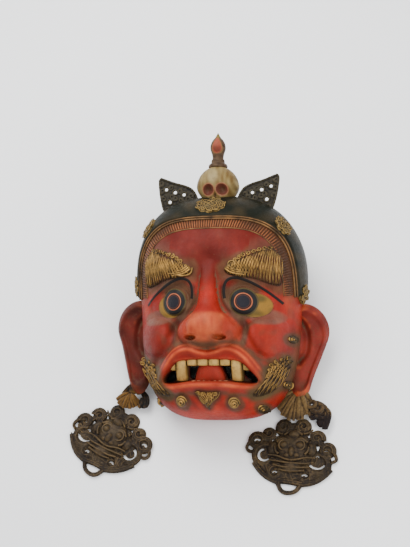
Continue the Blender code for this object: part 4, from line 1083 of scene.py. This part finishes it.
def flat_path(line, radius, level=0.0):
    """A tube's path in a flat piece's own plane."""
    line = list(zip(*line)) if isinstance(line, tuple) else line
    radii = np.broadcast_to(radius, len(line)) if np.size(radius) != 2 else np.linspace(*radius, len(line))
    return [(x, y, level, r) for (x, y), r in zip(line, radii)]


dark_bronze = worn_gilt("dark_bronze", (118, 96, 64), (46, 38, 33))
leaf_bronze = worn_gilt("leaf_bronze", (90, 80, 56), (32, 27, 22))
LEAF = [(-28, -14), (28, -14), (28, 6), (25, 26), (19, 50), (11, 43), (-2, 31), (-16, 21), (-27, 9)]
LEAF_HOLES = [(-10, 8, 2.4), (2, 17, 2.6), (14, 27, 2.4), (15, 5, 2.6)]
# The first four curls run round the holes.
LEAF_CURLS = [(-10, 8), (2, 17), (14, 27), (15, 5), (-3, 1), (-20, 2), (6, 27), (23, 14), (5, 7), (18, 39),
              (22, -5), (9, -6), (-7, -6), (-20, -8), (21, 27), (-6, 16), (9, 12), (-14, -1), (2, -8),
              (15, -9)]
for name, node, side in (("leaf_right", "crown_leaf_right", 1), ("leaf_left", "crown_leaf_left", -1)):
    rim = rounded(LEAF, 2, closed=True) * (side, 1)
    cut = piece("leaf_plate", prism(rim, -1.0, 0.6))
    for hx, hy, radius in LEAF_HOLES:
        drill = bmesh.new()
        bmesh.ops.create_cone(drill, cap_ends=True, segments=24, radius1=radius, radius2=radius, depth=9,
                              matrix=Matrix.Translation((hx * side, hy, 0)))
        cut_away(cut, piece("drill", drill))
    bm = bmesh.new()
    bm.from_mesh(cut.data)
    bmesh.ops.scale(bm, vec=(1 / UNIT, 1 / UNIT, 1 / UNIT), verts=bm.verts)
    bpy.data.objects.remove(cut)
    paths = [flat_path([*rim, rim[0]], 1.9)]
    for index, (cx, cy) in enumerate(LEAF_CURLS):
        x, y = spiral((cx * side, cy), 4.6, 1.2 if index > 3 else 3.9, 60 * index, 1.6, 26)
        kept = depth_inside(x, y, rim) > -0.5
        paths.append([(px, py, 1.0, 0.85) for px, py in zip(x[kept], y[kept])])
    add_tubes(bm, [path for path in paths if len(path) > 3], 2)
    for index in range(0, len(rim), 2):
        add_ball(bm, (*rim[index], 0.6), (1.9, 1.9, 2.0))
    foot = Matrix.Translation((side * 61, 341, 20)) @ Matrix.Rotation(math.radians(-20 * side), 4, "Z")
    foot = foot @ Matrix.Rotation(math.radians(-8), 4, "X")
    foot.translation *= UNIT
    leaf = melted(name, bm, lying @ foot, 0.62)
    gilded(leaf, 0.34 - 1.1 * hollows(leaf, 8), leaf_bronze)
    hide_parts(node)


# The headband's five cast ornaments: lobed bosses with scrolls, gilt with dark grooves.
# Each one takes its place and its size from the solid that it stands for.
HEAD_MIDDLE = lying @ Vector((0, 0.171, -0.03))


def own_frame(node):
    """Centre and axes of a flat CAD node (across, up and out of the mask), and its points in them."""
    co = np.array([vert.co[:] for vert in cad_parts[node].data.vertices])
    middle = (co.min(axis=0) + co.max(axis=0)) / 2
    _, _, axes = np.linalg.svd(co - co.mean(axis=0), full_matrices=False)
    out = Vector(axes[2])
    out = out if out.dot(Vector(middle) - HEAD_MIDDLE) > 0 else -out
    up = lying.to_3x3() @ Vector((0, 1, 0))
    across = up.cross(out).normalized()
    up = out.cross(across)
    local = (co - middle) @ np.array([across, up, out]).T / UNIT
    return middle, Matrix((across, up, out)).transposed().to_4x4(), local


band_gilt = worn_gilt("band_gilt", (172, 146, 90), (44, 36, 26))
for node, lobes in (("band_ornament_middle", 5), ("band_ornament_right", 4), ("band_ornament_left", 4),
                    ("band_end_right", 3), ("band_end_left", 3)):
    middle, axes, local = own_frame(node)
    wide, tall, deep = (local.max(axis=0) - local.min(axis=0)) / 2
    bm = bmesh.new()
    add_ball(bm, (0, 0, -deep * 0.4), (wide * 0.86, tall * 0.84, deep * 1.0))
    paths = []
    for index in range(lobes * 2):
        turn = math.pi * (index + 0.5) / lobes
        spot = (wide * 0.66 * math.cos(turn), tall * 0.64 * math.sin(turn))
        size = min(wide, tall) * 0.34
        add_ball(bm, (*spot, -deep * 0.3), (size, size, deep * 0.7))
        hand = 1 if index % 2 else -1
        x, y = spiral(spot, size * 0.95, size * 0.2, math.degrees(turn), 1.6 * hand, 24)
        paths.append(flat_path((x, y), 0.95, deep * 0.45))
    for hand in (1, -1):
        x, y = spiral((wide * 0.2 * hand, tall * 0.06), min(wide, tall) * 0.42, 0.9, 90, 1.5 * hand, 26)
        paths.append(flat_path((x, y), 1.1, deep * 0.62))
    add_tubes(bm, paths, 2)
    place = Matrix.Translation(middle) @ axes
    made = melted(node + "_cast", bm, place, 0.5)
    gilded(made, 0.34 - 1.7 * hollows(made, 8), band_gilt)
    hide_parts(node)

# The ear pendants: cast guardian faces with pierced scrolls round them, lying on the floor.
# The left one is a mirrored copy of the right one, turned by 30 degrees.
# Each scroll: its centre, outer and inner radius, start in degrees, turns and the radius of its wire.
SCROLLS = [
    ((-14, 48), 10, 3, -60, 1.3, 3.8), ((17, 49), 9.5, 3, 240, -1.3, 3.8), ((-36, 38), 8, 3, 200, 1.0, 3.4),
    ((-54, 26), 10, 8, 0, 1.0, 3.6), ((-42, 3), 17, 12, 60, 0.75, 4.4), ((-25, -24), 11, 5, 30, 1.2, 4.2),
    ((20, -28), 12, 5, 150, -1.2, 4.4), ((40, -9), 18, 12, 190, 0.7, 4.6), ((38, 30), 9, 3, -20, 1.2, 3.6),
    ((53, 11), 10, 4, -30, 0.9, 3.6),
]
# Each bar: its line, and its radius at the start and at the end.
BARS = [
    ([(-62, 28), (-71, 18), (-68, 9), (-58, 8)], 3.0, 2.4),
    ([(56, 14), (65, 7), (69, -4), (60, -8)], 3.2, 2.4),
    ([(-58, -8), (-48, -22), (-36, -32), (-22, -38)], 4.2, 4.2),
    ([(60, -18), (48, -31), (32, -40), (17, -42)], 4.2, 4.2),
    ([(-22, -37), (-4, -38), (17, -42)], 4, 4),
    ([(-21, -38), (-14, -55), (6, -55), (16, -41)], 3.6, 3.6),
]
# Each bent slot: the centre and radius of its bend, half its breadth, and its first and last degree.
SLOTS = [
    ((-54, 24), 4.5, 2.2, 20, 160), ((-42, 4), 9, 2.4, 95, 320), ((39, -3), 14, 2.4, 215, 325),
    ((39, 0), 2.5, 1.6, 0, 180), ((-25, -26), 4, 2.0, 20, 160), ((20, -31), 4, 2.2, 20, 160),
    ((52, 9), 2, 1.5, 0, 180),
]
WHISKERS = [
    [(-36, 2), (-22, 1), (-9, -5), (0, -6)], [(36, -3), (22, -2), (9, -5), (0, -6)],
    [(-34, -6), (-20, -8), (-8, -10), (0, -11)], [(34, -10), (20, -12), (8, -11), (0, -11)],
    [(-28, -13), (-14, -17), (0, -17)], [(28, -17), (14, -18), (0, -17)],
    [(-20, -20), (-8, -23), (8, -23), (20, -22)],
]
WRINKLES = [
    [(-23, 22), (-14, 30), (-3, 23)], [(3, 23), (14, 30), (24, 22)],
    [(-12, 34), (-3, 40), (8, 40), (16, 34)],
    [(-26, 16), (-25, 8), (-20, 4)], [(26, 15), (25, 8), (20, 3)],
    [(-6, 12), (-9, 5), (-8, 1)], [(6, 12), (9, 5), (8, 1)],
    [(-30, 44), (-22, 38), (-14, 37)], [(32, 44), (24, 38), (17, 37)],
]
# The lumps of the face and of the ground behind it: centres and half sizes.
LUMPS = [
    ((0, 8, 2), (36, 34, 5)), ((0, -18, 2), (32, 23, 5)), ((0, 14, 4), (24, 24, 9)),
    ((0, -16, 4), (17, 11, 8)), ((3, 35, 8), (9, 6, 6)), ((-12, 18, 9.5), (6, 5, 6)),
    ((12, 17, 9.5), (6, 5, 6)), ((0, 7, 10.5), (5, 8, 6)), ((-7, 2, 9), (5, 4, 4)), ((7, 2, 9), (5, 4, 4)),
    ((-30, 14, 4), (8, 11, 6)), ((30, 12, 4), (8, 11, 6)), ((2, 42, 2), (26, 14, 4)),
    ((-34, -14, 2), (18, 14, 4)), ((34, -24, 2), (20, 14, 4)),
]
SMALL_CURLS = [(-52, 16), (-33, 28), (-30, -4), (-46, -10), (-14, -34), (2, -32), (32, -26), (30, 4),
               (50, -20), (44, 20), (28, 38), (-24, 30), (3, 52), (-46, 34), (-58, 2), (56, 0), (-4, 47),
               (30, 22)]


def ridges(x, y):
    """Meandering ridges of a worn casting, in millimetres."""
    first, second = grain(x, y, 4.2, 3.0), grain(x * 0.9, y * 1.2, 7.5, 5.0)
    return 0.6 * np.exp(-((first / 0.2) ** 2)) + 0.5 * np.exp(-((second / 0.15) ** 2))


for name, node, place_x, place_y, turn, side in (
    ("pendant_cast_right", "pendant_right", 0.1103, -0.0522, 0, 1),
    ("pendant_cast_left", "pendant_left", -0.1823, -0.0320, -30, -1),
):
    bm = bmesh.new()
    for spot, radii in LUMPS:
        add_ball(bm, spot, radii)
    paths = []
    for cx in (-12, 12):
        x, y = spiral((cx, 17.5), 7.8, 7.8, 0, 1.0, 30)
        paths.append(flat_path((x, y), 1.2, 11.0))
    for line in WRINKLES:
        paths.append(flat_path(rounded(line, 3), (1.3, 2.0), 10.2 if line[0][1] < 40 else 5.4))
    for line in WHISKERS:
        paths.append(flat_path(rounded(line, 3), (1.1, 1.9), 10.6 if line[-1][1] > -20 else 9.4))
    for centre, outer, inner, start, turns, radius in SCROLLS:
        add_ball(bm, (*centre, 1.5), (outer + 3, outer + 3, 3.6))
        x, y = spiral(centre, outer, inner, start, turns, 34)
        paths.append(flat_path((x, y), (radius, radius * 0.8), 3.4))
        x, y = spiral(centre, outer - 0.7, max(inner - 0.8, 0.8), start, turns, 34)
        paths.append(flat_path((x, y), (1.2, 0.8), 7.0))
        for wider, level in ((2.4, 6.4), (4.8, 5.4)):
            x, y = spiral(centre, outer + wider, inner + wider * 0.8, start, turns * 0.9, 34)
            paths.append(flat_path((x, y), (1.2, 0.9), level))
    for line, radius, end in BARS:
        paths.append(flat_path(rounded(line, 3), (radius, end), 3.0))
        for rise in (1.9, -1.7):
            paths.append(flat_path(rounded(line, 3) + (rise * 0.5, rise), (1.0, 0.8), 2.6 + radius))
    for cx, cy in SMALL_CURLS:
        x, y = spiral((cx, cy), 3.6, 0.9, 50 * cx, 1.5, 18)
        paths.append(flat_path((x, y), (1.0, 0.8), 5.6))
    add_tubes(bm, paths, 3)
    bmesh.ops.scale(bm, vec=(side, 1, 1), verts=bm.verts)
    place = Matrix.Translation((mask_x + place_x, mask_y + place_y, 0))
    place = place @ Matrix.Rotation(math.radians(turn), 4, "Z")
    made = melted(name, bm, place, 0.68, floor=0.4)
    piercing = bmesh.new()
    for (cx, cy), bend, half, start, stop in SLOTS:
        angle = np.radians(np.linspace(start, stop, 14))
        far = np.concatenate([np.full(14, bend + half - 0.4), np.full(14, bend - half + 0.4)])
        angle = np.concatenate([angle, angle[::-1]])
        outline = list(zip(side * (cx + far * np.cos(angle)), cy + far * np.sin(angle)))
        cutter = bpy.data.meshes.new("cutter")
        one = prism(outline, -8, 30)
        one.to_mesh(cutter)
        one.free()
        piercing.from_mesh(cutter)
        bpy.data.meshes.remove(cutter)
    cut_away(made, piece("piercing", piercing, place))
    x, y, z = places(made, place).T
    co = each_point(made, "co").astype(np.float32).ravel()
    rise = ridges(x, y) * UNIT * smooth(0.2, 0.6, facing_share(made, (0, 0, 1)))
    co[2::3] += rise * smooth(2.5, 4, z) * smooth(8.5, 6.0, z)
    made.data.vertices.foreach_set("co", co)
    near = hollows(made, 8)
    x, y, z = places(made, place).T
    high = smooth(4, 13, z)
    gilded(made, 0.2 - 0.95 * near + 0.08 * high + 0.16 * grain(x, y, 13), dark_bronze)
    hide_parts(node)


# The right silk tie: a strip gathered into a broad fan of pleats below the ear lobe.
# Its end is knotted and looped beside the fan, over the pendant.
def silk(name, bright, dull):
    n = Nodes(name)
    fine = n.noise(260, 4, 0.6)
    weave = n.noise(900, 2, 0.5, stretch=(1.0, 0.3, 1.0))
    level = n.maths("MULTIPLY_ADD", n.maths("SUBTRACT", fine, 0.5), 0.7, n.field("wear_and_painted_light"))
    tone = n.blend(n.spread(level, 0.1, 0.75), colour(*dull), colour(*bright))
    tone = n.blend(n.spread(weave, 0.35, 0.7, 0, 0.35), tone, colour(*dull))
    return n.finish(Base_Color=tone, Roughness=n.spread(weave, 0.3, 0.7, 0.5, 0.75), Sheen_Weight=0.1,
                    Specular_IOR_Level=0.1, Normal=n.bump(weave, 0.4, 0.0006))


def pleat(start, end, thick, crown, low):
    """One fold of the gathered silk: from the lobe, over a crown, down to the pendant."""
    t = np.linspace(0, 1, 16)
    x = start[0] + (end[0] - start[0]) * t**1.3
    y = start[1] + (end[1] - start[1]) * t
    z = low[0] + (low[1] - low[0]) * t + crown * np.sin(np.pi * np.clip(t * 1.05, 0, 1))
    radius = thick * (0.4 + 0.6 * smooth(0.0, 0.55, t) - 0.15 * smooth(0.7, 1.0, t))
    return list(zip(x, y, z, radius))


def gathered(name, node, paths, balls, lobe, material, shaded):
    """Pleats melted into one cloth at an ear's lobe; shaded says how dark a place of the cloth is."""
    bm = bmesh.new()
    add_tubes(bm, paths, 3)
    for spot, radii in balls:
        add_ball(bm, spot, radii)
    place = Matrix.Translation((mask_x + lobe[0] * UNIT, mask_y + lobe[1] * UNIT, 0.004))
    made = melted(name, bm, place, 0.62, rounds=1)
    x, y, _ = places(made, place).T
    # The cloth's colour field is painted light: a painted highlight on the pleats' crests, painted shade in
    # the folds, darker still where shaded is high.
    set_field(made, "wear_and_painted_light", np.clip((0.5 - 1.5 * hollows(made, 6)) * (1 - shaded(x, y)), 0, 1))
    made.data.materials.append(material)
    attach(made, "root")
    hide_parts(node)


def fan(apex, ends, count, thick, crown, low):
    """Pleats from round one gathered place to a run of ends."""
    line = rounded(ends, 3)
    pleats = []
    for k, share in enumerate(np.linspace(0, len(line) - 1, count)):
        start = (apex[0] + 0.4 * (k - count / 2), apex[1])
        end_x, end_y = [np.interp(share, range(len(line)), line[:, axis]) for axis in (0, 1)]
        pleats.append(pleat(start, (end_x, end_y + 1.6 * math.sin(2.7 * k)),
                            thick * (1 + 0.28 * math.sin(4.1 * k + 1)), crown + 1.8 * math.sin(1.9 * k), low))
    return pleats


def cloth_run(points, start, end, level):
    """A rolled run of cloth at one level, thinning towards its end."""
    line = rounded(points, 2)
    return [(px, py, level, r) for (px, py), r in zip(line, np.linspace(start, end, len(line)))]


gold_silk = silk("gold_brown_silk", (146, 120, 78), (40, 30, 24))
RIGHT_FAN = [(-32, -13), (-31, -25), (-25, -35), (-14, -43), (1, -44), (11, -38), (17, -26), (21, -12)]
paths = fan((3, 7), RIGHT_FAN, 15, 3.5, 7.5, (14, 8))
for cx, cy, radius, level, tube in ((22, -18, 7, 13, 3.0), (31, -24, 9, 12, 3.4), (24, -34, 7, 10, 3.0),
                                    (38, -34, 7, 8, 2.8), (18, -28, 5, 9, 2.6)):
    x, y = spiral((cx, cy), radius, radius * 0.6, 40 * cx, 1.2, 24)
    paths.append([(px, py, level + 2 * math.sin(k / 4), tube) for k, (px, py) in enumerate(zip(x, y))])
for thick, shift in ((2.6, 0), (2.0, 4), (2.0, -4)):
    hanging = [(34 + shift, -18), (48 + shift, -28), (45 + shift, -46), (42 + shift * 0.7, -57)]
    paths.append(cloth_run(hanging, thick, thick * 0.8, 8))
paths.append(cloth_run([(20, -14), (32, -14), (42, -20), (48, -30)], 3.0, 2.4, 11))
# The fan is darker towards its bottom, painted shade, and the cloth is darker over the knot beside it.
gathered("silk_tie_right", "tie_right", paths,
         [((3, 2, 14), (9, 9, 8)), ((-7, -21, 8), (22, 20, 7)),
          ((29, -28, 7), (13, 13, 6)), ((36, -44, 5), (7, 9, 4))],
         (118, 47), gold_silk,
         lambda x, y: 0.5 * smooth(15, 21, x) + 0.4 * smooth(-28, -42, y))

# The left silk tie: a small gathered fan below a shorter one, old gold on the outer side.
# Rolls of the same cloth lie beside them; the colour darkens towards the face and near the lobe.
LEFT_FAN = [(-36, -22), (-33, -30), (-24, -36), (-14, -38), (-3, -36), (3, -29)]
paths = fan((-12, -12), LEFT_FAN, 11, 3.0, 5.0, (13, 8))
paths += fan((-6, 4), [(-26, -14), (-18, -13), (-8, -12), (4, -16)], 6, 2.8, 4.0, (16, 12))
for points, thick in (([(-4, 2), (6, -12), (13, -24), (12, -36)], 3.6),
                      ([(0, -4), (14, -16), (17, -26)], 3.0),
                      ([(6, -20), (8, -30), (2, -37)], 3.4),
                      ([(12, -18), (18, -28), (14, -36)], 2.6)):
    paths.append(cloth_run(points, thick, thick * 0.8, 9))
gathered("silk_tie_left", "tie_left", paths,
         [((-7, -5, 15), (10, 11, 7)), ((-16, -26, 8), (18, 11, 6)), ((9, -27, 6), (9, 10, 5))],
         (-137, 60), silk("old_gold_silk", (138, 100, 48), (34, 24, 18)),
         lambda x, y: np.maximum(0.75 * smooth(0, 6, x), 0.7 * smooth(-15, -9, y)))


# The camera, at the photograph's angle: square to the face but for 6 degrees towards the chin and 11 to
# the viewer's right. The picture is 0.82 m high at the mask's distance.
CHINWARD = math.radians(6)
PICTURE_HIGH, SENSOR = 0.8205, 36
back = lying.to_3x3() @ Vector((0.19 * math.cos(CHINWARD), -math.sin(CHINWARD), 0.98 * math.cos(CHINWARD)))
back.normalize()
upward = lying.to_3x3() @ Vector((0, 1, 0))
upward = (upward - back * upward.dot(back)).normalized()
right = upward.cross(back)
distance = 1.6
target = lying.translation + right * -0.024 + upward * 0.227 + back * 0.05
camera = bpy.data.objects.new("camera", bpy.data.cameras.new("camera"))
bpy.context.scene.collection.objects.link(camera)
facing = Matrix((right, upward, back)).transposed().to_4x4()
camera.matrix_world = Matrix.Translation(target + back * distance) @ facing
camera.data.sensor_fit = "VERTICAL"
camera.data.sensor_height = SENSOR
camera.data.lens = SENSOR * distance / PICTURE_HIGH
bpy.context.scene.camera = camera

# The studio: a pale sheet under the mask and two broad soft lights.
# A pale world lights the rest.
bm = bmesh.new()
bmesh.ops.create_grid(bm, x_segments=8, y_segments=8, size=3)
floor = bpy.data.objects.new("floor", bpy.data.meshes.new("floor"))
bm.to_mesh(floor.data)
bm.free()
bpy.context.scene.collection.objects.link(floor)
n = Nodes("pale_sheet")
floor.data.materials.append(n.finish(Base_Color=n.blend(n.noise(2), (0.80, 0.80, 0.80), (0.84, 0.84, 0.84)),
                                     Roughness=0.9))


LIT_PLACE = Vector((0, 0, 0.1))


def soft_light(name, spot, side, watts):
    """A square light of a given side, turned to the mask."""
    lamp = bpy.data.objects.new(name, bpy.data.lights.new(name, "AREA"))
    lamp.data.energy = watts
    lamp.data.shape = "RECTANGLE"
    lamp.data.size = lamp.data.size_y = side
    lamp.location = spot
    lamp.rotation_euler = (LIT_PLACE - Vector(spot)).to_track_quat("-Z", "Y").to_euler()
    bpy.context.scene.collection.objects.link(lamp)


soft_light("key", (-0.5, 0.9, 1.7), 1.4, 58)
soft_light("fill", (1.1, -0.6, 1.3), 1.2, 25)
world = bpy.data.worlds.new("studio")
world.use_nodes = True
background = world.node_tree.nodes["Background"].inputs
background["Color"].default_value = (0.95, 0.97, 1.0, 1)
background["Strength"].default_value = 1.25
bpy.context.scene.world = world
